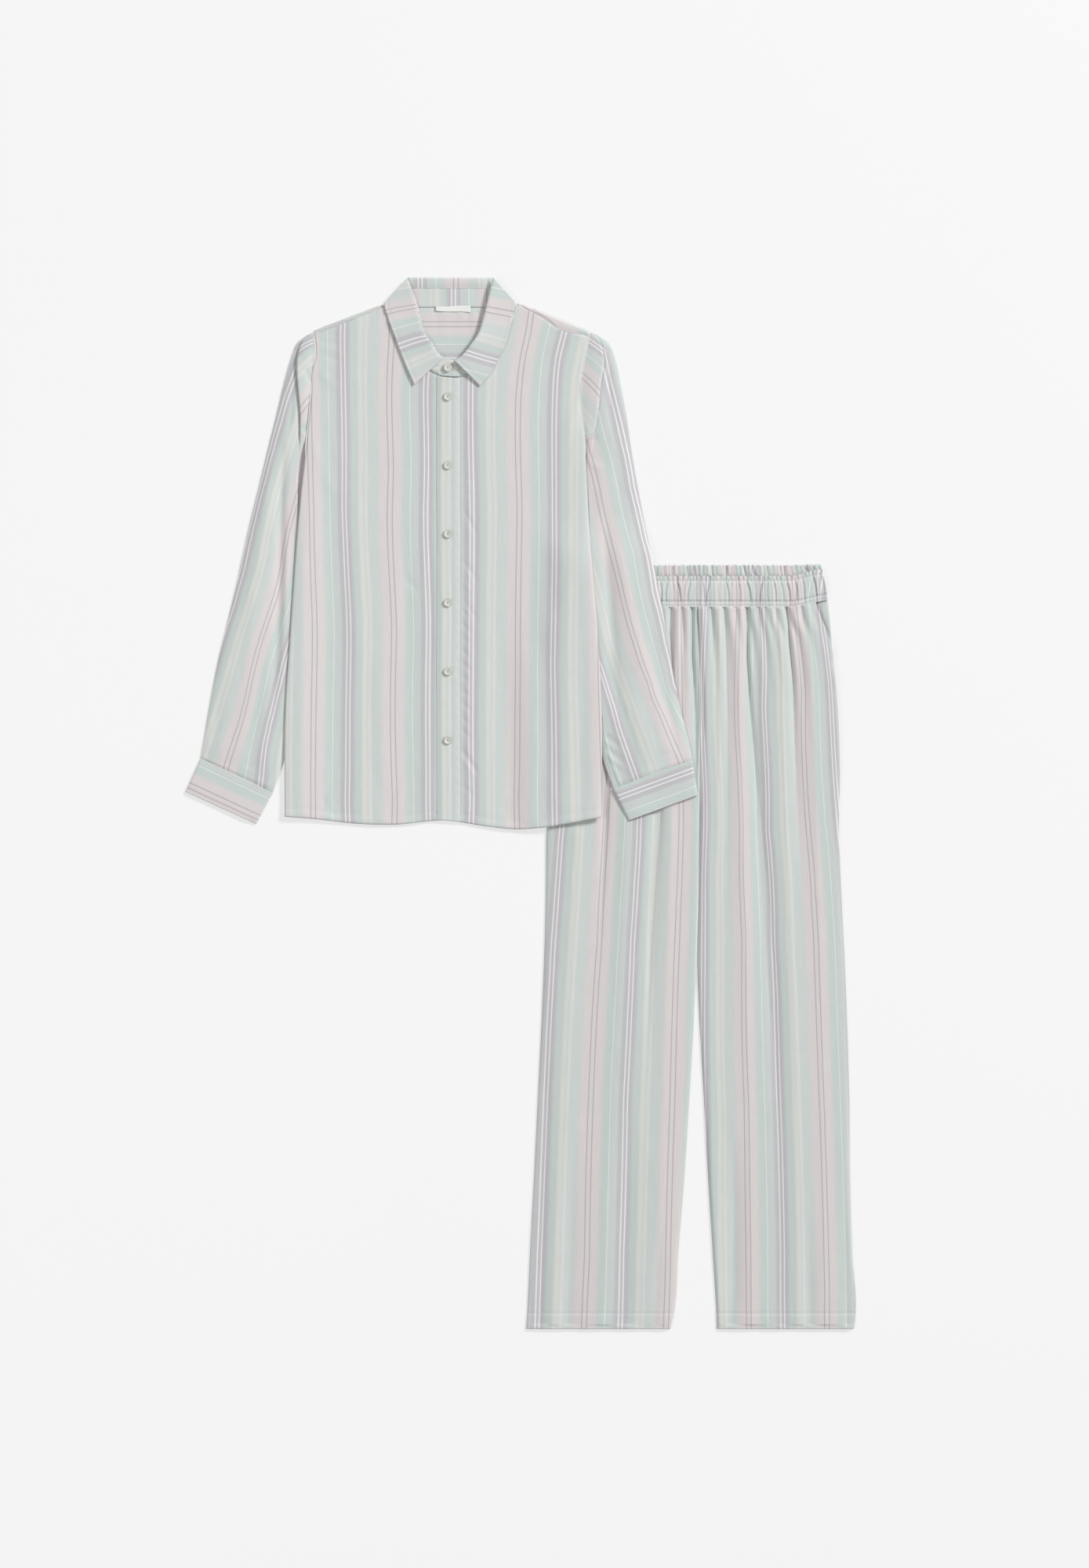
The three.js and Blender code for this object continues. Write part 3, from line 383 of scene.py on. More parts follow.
def soften(z, rows, columns):
    """Takes the facets out of a grid of heights; rows and columns say how far it looks."""
    for axis, spread in ((0, rows), (1, columns)):
        if spread <= 0:
            continue
        reach = int(math.ceil(2.5 * spread))
        weight = bell(np.arange(-reach, reach + 1), spread)
        weight /= weight.sum()
        pad = [(0, 0), (0, 0)]
        pad[axis] = (reach, reach)
        wide = np.pad(z, pad, mode="reflect", reflect_type="odd")
        shifted = (np.take(wide, range(k, k + z.shape[axis]), axis=axis) for k in range(len(weight)))
        z = sum(w * part for w, part in zip(weight, shifted))
    return z


# Making meshes
def make_object(name, points, faces, uv, material):
    mesh = bpy.data.meshes.new(name)
    mesh.from_pydata([tuple(p) for p in points], [], faces)
    if uv is not None:
        layer = mesh.uv_layers.new(name="cloth")
        loops = np.zeros(len(mesh.loops), int)
        mesh.loops.foreach_get("vertex_index", loops)
        layer.data.foreach_set("uv", np.asarray(uv, float)[loops].ravel())
    mesh.polygons.foreach_set("use_smooth", [True] * len(mesh.polygons))
    mesh.materials.append(material)
    mesh.update()
    piece = bpy.data.objects.new(name, mesh)
    bpy.context.scene.collection.objects.link(piece)
    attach(piece, "root")
    return piece


def grid_shell(across, down, height, stripe, thickness=CLOTH):
    """Points, faces and stripe coordinates of a closed thin sheet under a grid of heights."""
    rows, columns = across.shape
    count = rows * columns
    top = np.stack([across, down, height], -1).reshape(-1, 3)
    low = top - [0, 0, thickness]
    index = np.arange(count).reshape(rows, columns)
    corners = (index[:-1, :-1], index[1:, :-1], index[1:, 1:], index[:-1, 1:])
    upper = np.stack(corners, -1).reshape(-1, 4)
    under = upper[:, ::-1] + count
    rim = np.concatenate([index[:-1, 0], index[-1, :-1], index[:0:-1, -1], index[0, :0:-1]])
    after = np.roll(rim, -1)
    sides = np.stack([after, rim, rim + count, after + count], -1)
    uv = np.stack([stripe, down / REPEAT], -1).reshape(-1, 2)
    faces = np.concatenate([upper, under, sides])
    return np.concatenate([top, low]), faces, np.concatenate([uv, uv])


def there_and_back(grid):
    return np.concatenate([grid, grid[:, ::-1]], axis=1)


def tube_ring(across, down, upper, lower, inset):
    """Points round a flat tube: along its upper side and back along its lower one."""
    x = across.copy()
    inward = inset * np.sign(across[:, -1] - across[:, 0])
    x[:, 0] += inward
    x[:, -1] -= inward
    above, below = np.stack([x, down, upper], -1), np.stack([x, down, lower], -1)
    return np.concatenate([above, below[:, ::-1]], axis=1)


def tube_shell(across, down, edge, top, low, wall, stripe, lengthwise):
    """The wall of a flat tube with rounded sides, open at its two ends."""
    middle = (top + low) / 2
    round_off = 0.35 + 0.65 * smooth(edge / 3.0) ** 0.5
    top, low = middle + (top - middle) * round_off, middle + (low - middle) * round_off
    rings = tube_ring(across, down, top, low, 0.0)
    inner_rings = tube_ring(across, down, top - wall, low + wall, wall)
    rows, around = rings.shape[:2]
    count = rows * around
    index = np.arange(count).reshape(rows, around)
    beside = np.roll(index, -1, axis=1)
    outer = np.stack([index[:-1], beside[:-1], beside[1:], index[1:]], -1).reshape(-1, 4)
    inner = outer[:, ::-1] + count
    start = np.stack([beside[0], index[0], index[0] + count, beside[0] + count], -1)
    end = np.stack([index[-1], beside[-1], beside[-1] + count, index[-1] + count], -1)
    points = np.concatenate([rings.reshape(-1, 3), inner_rings.reshape(-1, 3)])
    uv = np.stack([there_and_back(stripe), there_and_back(lengthwise) / REPEAT], -1).reshape(-1, 2)
    return points, np.concatenate([outer, inner, start, end]), np.concatenate([uv, uv])


def joined(*shells):
    points, faces, uv, offset = [], [], [], 0
    for shell_points, shell_faces, shell_uv in shells:
        points.append(shell_points)
        faces.append(shell_faces + offset)
        uv.append(shell_uv)
        offset += len(shell_points)
    return np.concatenate(points), np.concatenate(faces), np.concatenate(uv)


def in_frame(points, origin):
    x, y = origin[0] + points[:, 0], origin[1] - points[:, 1]
    return np.stack([x * MM, y * MM, points[:, 2] * MM], -1)


def cloth_piece(name, shell, origin, material, node):
    """Places a shell in the frame, turned so that its faces point out."""
    points, faces, uv = shell
    world = in_frame(points, origin)
    piece = make_object(name, world, [tuple(int(i) for i in f) for f in faces], uv, material)
    tri = world[np.concatenate([faces[:, [0, 1, 2]], faces[:, [0, 2, 3]]])]
    if np.einsum("ij,ij->i", tri[:, 0], np.cross(tri[:, 1], tri[:, 2])).sum() < 0:
        piece.data.flip_normals()
    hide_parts(node)
    return piece


def shirt_cloth(name, shell, node):
    return cloth_piece(name, shell, SHIRT, SHIRT_CLOTH, node)


def trouser_cloth(name, shell, node):
    return cloth_piece(name, shell, TROUSER, TROUSER_CLOTH, node)


# Materials
def srgb(levels, gain=1.0):
    """A display colour of 0 to 255, made lighter or darker by a gain, as linear values."""
    scaled = [min(gain * level, 255) / 255 for level in levels]
    linear = [v / 12.92 if v <= 0.04045 else ((v + 0.055) / 1.055) ** 2.4 for v in scaled]
    return (*linear, 1.0)


MINT, GREY, MAUVE = (199, 211, 206), (203, 209, 206), (194, 192, 195)
CREAM, PINK, PLUM, WHITE = (216, 218, 213), (218, 212, 211), (188, 178, 184), (233, 232, 233)
# One repeat, charted in CHART steps from the middle of the white pair. The picture of the
# repeat starts CHART_START steps before it.
CHART, CHART_START = 104.0, 9.6
BANDS = [
    (-10, (198, 203, 203)), (-7, MAUVE), (6.5, MAUVE), (8, (198, 200, 201)), (11, MINT), (17, GREY),
    (20, CREAM), (23, CREAM), (25, (209, 213, 210)), (26.5, (210, 214, 211)), (27.8, CREAM),
    (29.6, CREAM), (31.5, (206, 211, 209)), (35, (204, 212, 209)), (43, (208, 212, 210)), (47, PINK),
    (71, PINK), (75, (204, 210, 208)), (80, MINT), (83, MINT), (87, GREY), (93, GREY)]
WHITE_LINES = [(-3.3, -1.7), (1.7, 3.3), (83.8, 84.6)]
PLUM_LINES = [(54.6, 56.0), (60.9, 62.3)]
LINE_BLUR = 0.35


def set_inputs(node, values):
    for name, value in values.items():
        node.inputs[name].default_value = value


def add_node(nodes, kind, values):
    node = nodes.new(kind)
    set_inputs(node, values)
    return node


def ramp(nodes, links, source, stops):
    node = nodes.new("ShaderNodeValToRGB")
    elements = node.color_ramp.elements
    while len(elements) > 1:
        elements.remove(elements[-1])
    for i, (place, color) in enumerate(stops):
        element = elements[0] if i == 0 else elements.new(place)
        element.position = place
        element.color = color
    links.new(source, node.inputs["Fac"])
    return node.outputs["Color"]


def line_stops(lines):
    stops = [(0.0, (0, 0, 0, 1))]
    for low, high in lines:
        rise, fall = (low - LINE_BLUR, low + LINE_BLUR), (high - LINE_BLUR, high + LINE_BLUR)
        for place, level in zip(rise + fall, (0, 1, 1, 0)):
            stops.append(((place + CHART_START) / CHART, (level, level, level, 1)))
    return stops


def calculated(nodes, links, operation, source, value=0.0):
    node = nodes.new("ShaderNodeMath")
    node.operation = operation
    links.new(source, node.inputs[0])
    node.inputs[1].default_value = value
    return node.outputs[0]


def mix_color(nodes, links, blend, factor, a, b):
    node = nodes.new("ShaderNodeMix")
    node.data_type = "RGBA"
    node.blend_type = blend
    for socket, value in ((node.inputs[0], factor), (node.inputs[6], a), (node.inputs[7], b)):
        if isinstance(value, (float, tuple)):
            socket.default_value = value
        else:
            links.new(value, socket)
    return node.outputs[2]


def new_material(name, settings):
    material = bpy.data.materials.new(name)
    material.use_nodes = True
    nodes, links = material.node_tree.nodes, material.node_tree.links
    shader = nodes["Principled BSDF"]
    set_inputs(shader, settings)
    return material, nodes, links, shader


def repeat_color(nodes, links, coordinate, gain):
    """The charted bands and lines, by the first cloth coordinate."""
    split = nodes.new("ShaderNodeSeparateXYZ")
    links.new(coordinate, split.inputs[0])
    shifted = calculated(nodes, links, "ADD", split.outputs[0], CHART_START / CHART)
    place = calculated(nodes, links, "FRACT", shifted)
    bands = [((at + CHART_START) / CHART, srgb(color, gain)) for at, color in BANDS]
    color = ramp(nodes, links, place, bands)
    for lines, line_color in ((WHITE_LINES, WHITE), (PLUM_LINES, PLUM)):
        on_line = ramp(nodes, links, place, line_stops(lines))
        color = mix_color(nodes, links, "MIX", on_line, color, srgb(line_color, gain))
    return color


def striped_cloth(name, gain=1.0):
    """Soft woven cloth with the charted stripes, thread streaks and a fine weave."""
    material, nodes, links, shader = new_material(name, {
        "Roughness": 0.78, "Sheen Weight": 0.12, "Sheen Roughness": 0.5, "Specular IOR Level": 0.25})
    coordinate = nodes.new("ShaderNodeUVMap")
    coordinate.uv_map = "cloth"
    color = repeat_color(nodes, links, coordinate.outputs[0], gain)
    # Thread streaks run along the stripes: noise stretched down the cloth
    stretch = add_node(nodes, "ShaderNodeMapping", {"Scale": (150.0, 3.0, 1.0)})
    streaks = add_node(nodes, "ShaderNodeTexNoise", {"Scale": 1.0, "Detail": 3.0})
    links.new(coordinate.outputs[0], stretch.inputs["Vector"])
    links.new(stretch.outputs[0], streaks.inputs["Vector"])
    tones = [(0.3, (0.95, 0.95, 0.95, 1)), (0.7, (1.03, 1.03, 1.03, 1))]
    tone = ramp(nodes, links, streaks.outputs[0], tones)
    color = mix_color(nodes, links, "MULTIPLY", 1.0, color, tone)
    links.new(color, shader.inputs["Base Color"])
    # Fine weave and soft crumple
    place_in = nodes.new("ShaderNodeTexCoord").outputs["Object"]
    weave = add_node(nodes, "ShaderNodeTexBrick", {
        "Scale": 900.0, "Color1": (1, 1, 1, 1), "Color2": (0.75, 0.75, 0.75, 1),
        "Mortar": (0.3, 0.3, 0.3, 1)})
    crumple = add_node(nodes, "ShaderNodeTexNoise", {"Scale": 38.0, "Detail": 2.0})
    fine = add_node(nodes, "ShaderNodeBump", {"Strength": 0.25, "Distance": 0.0002})
    broad = add_node(nodes, "ShaderNodeBump", {"Strength": 0.3, "Distance": 0.0016})
    links.new(place_in, weave.inputs["Vector"])
    links.new(place_in, crumple.inputs["Vector"])
    links.new(weave.outputs["Color"], fine.inputs["Height"])
    links.new(crumple.outputs[0], broad.inputs["Height"])
    links.new(fine.outputs[0], broad.inputs["Normal"])
    links.new(broad.outputs[0], shader.inputs["Normal"])
    return material


def plain_material(name, color, roughness, noise_scale, variation=0.04, bump=0.0002, specular=0.4):
    """One colour with a fine noise in its tone and its surface."""
    material, nodes, links, shader = new_material(name, {
        "Roughness": roughness, "Specular IOR Level": specular})
    place_in = nodes.new("ShaderNodeTexCoord").outputs["Object"]
    noise = add_node(nodes, "ShaderNodeTexNoise", {"Scale": noise_scale, "Detail": 3.0})
    links.new(place_in, noise.inputs["Vector"])
    stops = [(0.3, srgb(color, 1 - variation)), (0.7, srgb(color, 1 + variation))]
    links.new(ramp(nodes, links, noise.outputs[0], stops), shader.inputs["Base Color"])
    bumps = add_node(nodes, "ShaderNodeBump", {"Strength": 0.3, "Distance": bump})
    links.new(noise.outputs[0], bumps.inputs["Height"])
    links.new(bumps.outputs[0], shader.inputs["Normal"])
    return material


SHIRT_CLOTH = striped_cloth("shirt_stripes")
# The trousers take the same striped cloth a little darker, as painted shade
TROUSER_CLOTH = striped_cloth("trouser_stripes", gain=0.985)
PEARL = plain_material(
    "pearl_button", (206, 208, 199), 0.38, 260.0, variation=0.05, bump=0.0001, specular=0.5)
THREAD = plain_material("sewing_thread", (196, 202, 200), 0.6, 900.0)
TAPE = plain_material("label_tape", (232, 232, 228), 0.55, 700.0, variation=0.015)
# The buttons' holes are dark dishes of painted shade, not openings
HOLE_SHADE = plain_material("hole_shadow", (128, 124, 120), 0.9, 300.0)

# Folds read from the photo: each is a line of (x, y, width, height), in pixels and millimetres
BODY_FOLDS = [
    [(412, 520, 22, 0), (416, 600, 24, -1.1), (424, 760, 26, -1.2), (428, 1040, 28, -1.3)],
    [(388, 600, 12, 0), (386, 760, 12, 0.7), (384, 1040, 14, 0.8)],
    [(455, 560, 18, 0), (456, 700, 20, 0.7), (460, 900, 18, 0.8), (462, 1048, 20, 0.9)],
    [(516, 640, 14, 0), (520, 740, 16, -0.8), (524, 900, 16, -0.4), (526, 1048, 18, -0.8)],
    [(484, 760, 16, 0), (486, 880, 18, 0.6), (488, 1048, 18, 0.8)],
    [(548, 520, 5, 0), (549, 640, 5, -0.5), (550, 800, 6, -0.8), (551, 900, 6, -0.7),
     (552, 1020, 6, 0)],
    [(540, 540, 7, 0), (541, 760, 8, 0.6), (542, 1040, 8, 0.5)],
    [(606, 500, 6, 0), (607, 620, 6, -0.6), (607, 700, 7, -1.0), (606, 900, 6, -0.5),
     (606, 1040, 6, -0.6)],
    [(598, 520, 9, 0), (598, 650, 9, 0.9), (598, 800, 9, 0.7), (597, 1040, 8, 0.6)],
    [(640, 780, 18, 0), (640, 860, 22, -0.8), (645, 960, 22, -0.6), (650, 1050, 22, -0.6)],
    [(668, 640, 20, 0), (668, 760, 22, 0.7), (672, 1050, 22, 0.8)],
    [(692, 700, 12, 0), (694, 860, 16, -1.0), (696, 980, 18, -1.1), (694, 1052, 18, -0.8)],
    [(720, 640, 14, 0), (720, 800, 16, 0.6), (722, 1050, 18, 0.8)],
    [(744, 760, 12, 0), (744, 900, 14, -0.7), (742, 1000, 16, -0.9), (742, 1048, 16, -0.6)],
    [(428, 425, 10, -0.5), (426, 500, 12, -0.4), (424, 560, 12, 0)],
    [(700, 440, 12, 0), (696, 520, 14, -0.5), (694, 620, 14, 0)],
]
# Short creases: (x, y) to (x, y), width, height
BODY_CREASES = [
    (404, 436, 442, 441, 5, -0.5), (406, 450, 440, 462, 6, -0.6), (402, 470, 436, 500, 9, 0.5),
    (396, 560, 430, 640, 12, 0.6), (742, 500, 722, 560, 9, 0.5), (752, 640, 728, 760, 12, 0.5),
    (408, 1016, 436, 1044, 8, -0.8), (516, 735, 534, 758, 7, -0.5), (690, 980, 720, 1040, 14, 0.5),
    (589, 611, 606, 613, 3, -0.6), (590, 630, 604, 632, 3, -0.5), (592, 650, 607, 682, 4, -0.9),
    (591, 714, 610, 744, 4, -1.0), (592, 742, 604, 760, 3.5, 0.5), (591, 764, 608, 792, 4, -0.7),
    (589, 778, 600, 790, 3, -0.8), (589, 795, 599, 806, 3, -0.8), (589, 812, 600, 822, 3, -0.7),
    (589, 828, 600, 840, 3, -0.8), (589, 846, 602, 856, 3.5, -0.9), (590, 862, 600, 872, 3, -0.7),
    (589, 880, 600, 890, 3, -0.8), (589, 896, 602, 908, 3, -0.8), (589, 914, 600, 926, 3, -0.8),
    (589, 930, 601, 944, 3, -0.8), (587, 953, 611, 990, 4.5, -1.3), (590, 966, 606, 992, 4, 0.5),
    (590, 1000, 604, 1018, 4, -0.6), (660, 1000, 640, 1046, 12, -0.4),
    (470, 960, 500, 1044, 14, -0.4)]


def on_photo(across, down, pixel):
    return across / PHOTO_SCALE + pixel[0], down / PHOTO_SCALE + pixel[1]


def folds(across, down, pixel, lines, power=2.0):
    """Upright ridges and troughs that follow their lines, from a line's first point to its last."""
    x, y = on_photo(across, down, pixel)
    total = np.zeros(np.shape(x))
    for line in lines:
        line = np.asarray(line, float)
        middle = np.interp(y, line[:, 1], line[:, 0])
        width = np.interp(y, line[:, 1], line[:, 2])
        height = np.interp(y, line[:, 1], line[:, 3], left=0, right=0)
        aside = np.abs((x - middle) * PHOTO_SCALE / (0.5 * width))
        total += height * np.exp(-0.7 * aside ** power)
    return total


def creases(across, down, rows):
    """Short soft ridges and troughs on the shirt."""
    x, y = on_photo(across, down, SHIRT_PIXEL)
    total = np.zeros(np.shape(x))
    for x1, y1, x2, y2, width, height in rows:
        length = math.hypot(x2 - x1, y2 - y1)
        along = ((x - x1) * (x2 - x1) + (y - y1) * (y2 - y1)) / length ** 2
        aside = ((x - x1) * (y2 - y1) - (y - y1) * (x2 - x1)) / length
        ends = smooth(along * 3.5) * smooth((1 - along) * 3.5)
        total += height * ends * bell(aside, 0.5 * width / PHOTO_SCALE)
    return total


def side_roll(distance, drop, reach=5.0):
    """The fall of a sheet's height at a folded or seamed side."""
    return -drop * (1 - smooth(distance / reach)) ** 2


# Shirt body
def shirt_grid(first, last, top, columns, rows, bottom=hem):
    t, share = unit_grid(rows + 1, columns + 1)
    return fitted_grid(first, last, top, bottom, t, share, lerp(60.0, SHIRT_LENGTH, t), 9)


def front_top(across):
    return np.where(np.abs(across) < 80, neck(across), shoulder_seam(across) - 1.5) + 0.6


def front_shell(part, first, last, on_top):
    across, down = shirt_grid(first, last, front_top, columns=96, rows=210)
    base = Solid(f"shirt_{part}", SHIRT).top(across, down, rows=2.2, columns=3.0)
    sides = np.minimum(across - body_left(down), body_right(down) - across)
    relief = folds(across, down, SHIRT_PIXEL, BODY_FOLDS) * smooth(sides / 12)
    relief += creases(across, down, BODY_CREASES) * smooth(sides / 5)
    # Both fronts lie flat under the placket
    if on_top:
        relief *= smooth((-PLACKET_HALF - across) / 4)
    else:
        relief *= smooth((across - PLACKET_HALF + 2) / 3)
    from_hem = hem(across) - down
    hem_turn = 0.35 * smooth((SHIRT_HEM + 1 - from_hem) / 2) - 0.55 * bell(from_hem - SHIRT_HEM, 1.1)
    hem_wave = 0.35 * np.sin(across * 0.11) * smooth((30 - from_hem) / 30)
    # The sides fall below the armholes only: above them they meet the sleeves
    apart = np.where(across < 0, smooth((down - 330) / 60), 1)
    below = 0.12 + 0.88 * smooth((down - CAP_DEPTH) / 25) * apart
    height = base + relief + side_roll(sides, 0.9) * below + hem_turn + hem_wave
    return grid_shell(across, down, np.maximum(height, base - 1.2), phase(part, across, down))


def back_shell():
    across, down = shirt_grid(body_left, body_right, constant(YOKE_DEPTH + 0.5), columns=70, rows=90)
    height = Solid("shirt_back", SHIRT).top(across, down, rows=1.5, columns=1.5)
    return grid_shell(across, down, height, phase("front_right", across, down))


def placket_shell():
    """The placket band: its sewing puckers it, and its top swells where it meets the stand."""
    across, down = shirt_grid(
        constant(-PLACKET_HALF), constant(PLACKET_HALF), front_top, columns=26, rows=300)
    base = Solid("front_placket", SHIRT).top(across, down, rows=2.0, columns=0)
    left, right = across + PLACKET_HALF, PLACKET_HALF - across
    pucker = 0.2 * np.sin(down * 0.42 + 1.3 * np.sin(down * 0.031)) * bell(right - 3.2, 1.6)
    seam = -0.3 * bell(right - 3.0, 0.7) - 0.4 * bell(across - 4.4, 0.7)
    fall = side_roll(right, 1.1) - 1.15 * (1 - smooth(left / 8))
    swell = 1.2 * bell(down - 128, 9) * bell(across - 2, 8)
    height = base + seam + pucker + fall + swell
    wander = 0.25 * np.sin(down * 0.021) + 0.15 * np.sin(down * 0.057 + 1)
    return grid_shell(across + wander, down, height, phase("front_left", across, down), 0.8)


front_left = shirt_cloth("cloth_front_left", front_shell(
    "front_left", body_left, constant(PLACKET_HALF - 0.4), True), "shirt_front_left")
front_right = shirt_cloth("cloth_front_right", front_shell(
    "front_right", constant(-PLACKET_HALF), body_right, False), "shirt_front_right")
shirt_cloth("cloth_back", back_shell(), "shirt_back")
placket = shirt_cloth("cloth_placket", placket_shell(), "front_placket")

# Yoke: the back part shows in the neck, its two strips lie over the shoulders
YOKE_GATHERS = [
    [(557, 396, 5, -0.5), (557, 440, 6, 0)],
    [(580, 396, 5, -0.5), (581, 430, 6, 0)],
    [(596, 396, 5, -0.45), (597, 440, 6, 0)],
    [(612, 396, 5, -0.5), (611, 450, 7, 0)],
    [(568, 396, 8, 0.4), (569, 440, 10, 0)],
    [(604, 396, 6, 0.4), (604, 430, 8, 0)],
]
SHOULDER_STRIPS = [(-176.5, -89.5, "shoulder_strip"), (91.5, 184, "shoulder_strip_right")]


def yoke_top(across):
    near_neck = np.where(np.abs(across - 2) < 80, 40.0, 0.0)
    return np.maximum(shoulder_fold(across) + 1.0, near_neck)


def yoke_shell():
    across, down = shirt_grid(
        body_left, body_right, yoke_top, columns=120, rows=40, bottom=constant(YOKE_DEPTH))
    height = 2.0 + 0.15 * np.sin(across * 0.05) + folds(across, down, SHIRT_PIXEL, YOKE_GATHERS)
    shells = [grid_shell(across, down, height, 0.555 + (down - 60.8) / REPEAT)]
    for start, end, part in SHOULDER_STRIPS:
        t, share = unit_grid(14, 60)
        x = lerp(start, end, share)
        d = lerp(shoulder_fold(x), shoulder_seam(x), t)
        from_fold = t * (shoulder_seam(x) - shoulder_fold(x))
        z = 4.5 - SINK + side_roll(from_fold, 2.6, 3.2) - 0.95 * smooth(2 * t - 1)
        shells.append(grid_shell(x, d, z + 0.1 * np.sin(x * 0.13), phase(part, x, d)))
    return joined(*shells)


shirt_cloth("cloth_yoke", yoke_shell(), "shirt_yoke")

# Sleeves: an outer stretch and, over it near the armhole, the tuck of the cap
SLEEVE_LEFT_FOLDS = [
    [(363, 560, 7, 0), (359, 630, 7, -1.8), (357, 700, 7, -2.3), (356, 770, 7, -2.0),
     (352, 860, 8, -1.3), (347, 920, 8, 0)],
    [(350, 560, 12, 0), (338, 660, 14, 0.9), (320, 780, 16, 0.8), (300, 900, 16, 0.9),
     (285, 970, 14, 0.5)],
    [(372, 640, 6, 0), (366, 700, 7, 1.0), (364, 780, 7, 0.9), (358, 860, 7, 0.6),
     (352, 920, 7, 0)],
    [(318, 760, 9, 0), (306, 860, 12, -0.9), (296, 920, 12, -0.9), (284, 980, 10, -0.6)],
    [(284, 860, 10, 0), (276, 920, 10, -0.7), (268, 965, 9, -0.5)],
    [(336, 850, 8, 0), (326, 920, 9, -0.8), (318, 980, 9, -1.0)],
    [(346, 930, 6, 0), (338, 970, 7, 0.8), (334, 1000, 7, 0.8)],
    [(376, 475, 5, 0), (372, 520, 6, -0.8), (366, 570, 6, 0)],
]
SLEEVE_RIGHT_FOLDS = [
    [(770, 640, 9, 0), (774, 720, 10, -1.5), (779, 780, 9, -2.0), (784, 850, 9, -1.2),
     (790, 890, 9, 0)],
    [(772, 820, 7, 0), (778, 860, 8, -2.0), (788, 895, 8, -1.8), (800, 935, 8, -1.2),
     (812, 980, 8, -0.6)],
    [(788, 660, 14, 0), (797, 740, 15, 1.0), (812, 820, 16, 1.0), (834, 900, 16, 0.8),
     (852, 960, 14, 0.4)],
    [(780, 560, 8, 0), (790, 620, 9, -0.5), (802, 690, 9, 0)],
    [(826, 780, 9, 0), (836, 840, 9, -0.7), (850, 900, 9, -0.8), (866, 960, 9, -0.6)],
    [(800, 860, 9, 0), (812, 905, 10, 0.9), (828, 950, 10, 0.8), (836, 985, 9, 0.5)],
    [(775, 462, 6, 0), (776, 484, 6, -0.8), (779, 520, 7, -0.8), (784, 560, 8, 0)],
]
SLEEVE_CREASES = [
    (770, 936, 792, 956, 5, -1.1), (771, 950, 796, 976, 5, -1.0), (780, 972, 802, 992, 5, -0.8),
    (774, 962, 796, 984, 4, 0.6), (745, 572, 764, 556, 5, -0.7), (748, 588, 768, 600, 7, 0.6),
    (388, 468, 399, 492, 5, -0.7), (384, 540, 396, 560, 5, -0.6), (330, 985, 340, 1000, 4, -0.6),
    (296, 968, 290, 984, 4, -0.5), (312, 975, 306, 992, 4, 0.5), (824, 968, 832, 984, 4, -0.5),
    (846, 958, 852, 976, 4, -0.5), (806, 440, 820, 470, 8, 0.4)]
# Width of the sunken wedge between the left sleeve and the body, below the armhole
WEDGE = dict(
    down=[214, 222, 240, 262, 290, 320, 360, 400, 480],
    width=[0, 3.0, 7.5, 9.5, 8.5, 5.5, 3.2, 2.0, 0])


def sleeve_shell(side, rows, upright, groove):
    """A sleeve as a flat tube; groove is the depth of the line along the tuck's edge."""
    steps, outer_columns, cap_columns = 220, 28, 12
    x1, d1, x2, d2, tuck = along_rows(rows, steps, 5)
    t = np.linspace(0, 1, steps + 1)[:, None]
    lift = 0.35 + 0.9 * np.interp(t, np.linspace(0, 1, len(rows)), [row[5] for row in rows])
    width = np.hypot(x2 - x1, d2 - d1)
    tuck_at = width - np.maximum(tuck, 5)
    cap_from = tuck_at + TUCK_GAP
    outer = (0.5 - 0.5 * np.cos(np.linspace(0, math.pi, outer_columns))) * (tuck_at - TUCK_GAP)
    cap = cap_from + np.sin(np.linspace(0, math.pi / 2, cap_columns)) * (width - cap_from)
    place = np.concatenate([outer, cap], axis=1)
    on_cap = np.arange(place.shape[1]) >= outer_columns
    across, down = lerp(x1, x2, place / width), lerp(d1, d2, place / width)
    # Heights are read clear of the solid's sloping riser, so that the tuck's edge stays crisp
    beyond = np.maximum(place, np.minimum(tuck_at + 3.4, width - 1))
    read_at = np.where(on_cap, beyond, np.minimum(place, tuck_at - 1)) / width
    solid = Solid(f"sleeve_{side}", SHIRT)
    top = solid.top(lerp(x1, x2, read_at), lerp(d1, d2, read_at), rows=1.6, columns=0)
    low = solid.underside(across, down, rows=1.6, columns=0.8)
    capped = smooth((CAP_DEPTH + 14 - down) / 20)
    edge = np.minimum(place, width - place + 9 * capped)
    relief = SLEEVE_FOLD_GAIN * folds(across, down, SHIRT_PIXEL, upright, 1.5)
    relief = relief + SLEEVE_CREASE_GAIN * creases(across, down, SLEEVE_CREASES)
    near_cuff = smooth((t - 0.93) / 0.05) * smooth((1 - t) / 0.02)
    gather = 0.4 * near_cuff * np.sin(place / width * 2 * math.pi * 8) * smooth(edge / 10)
    top = top + (relief + 1.3) * smooth(edge / 9) * smooth((1 - t) * 12) + gather
    tuck_line = groove * capped * np.exp(-np.abs(tuck_at - place) / 1.7)
    top = top + np.where(on_cap, lift * capped, -tuck_line)
    # The cap's stripes also run over the sleeve's head, above the turn of the tuck
    as_cap = np.where(on_cap, smooth((CAP_DEPTH + 6 - down) / 12), smooth((CAP_TURN - down) / 8))
    stripe = lerp(phase(f"sleeve_{side}", across, down), phase(f"cap_{side}", across, down), as_cap)
    if side == "left":
        # The sleeve's under layer shows in the wedge, with its fine diagonal plum lines; holding the
        # whole wedge on the dark plum colour is painted shade
        wedge = np.interp(down, WEDGE["down"], WEDGE["width"])
        sunk = smooth((place - width + wedge) / 1.2 + 0.5) * smooth(wedge)
        top = top - 4.5 * sunk
        stripe = lerp(stripe, 0.532 + 0.012 * np.sin(0.55 * down + 1.2 * place), sunk)
    top = np.maximum(top, low + 2 * CLOTH + 0.1)
    # The sleeve's end sinks into the cuff's seam
    top = np.maximum(top - 1.8 * smooth((t - 0.985) / 0.010), low + CLOTH + 0.6)
    return tube_shell(across, down, edge, top, low, CLOTH, stripe, down)


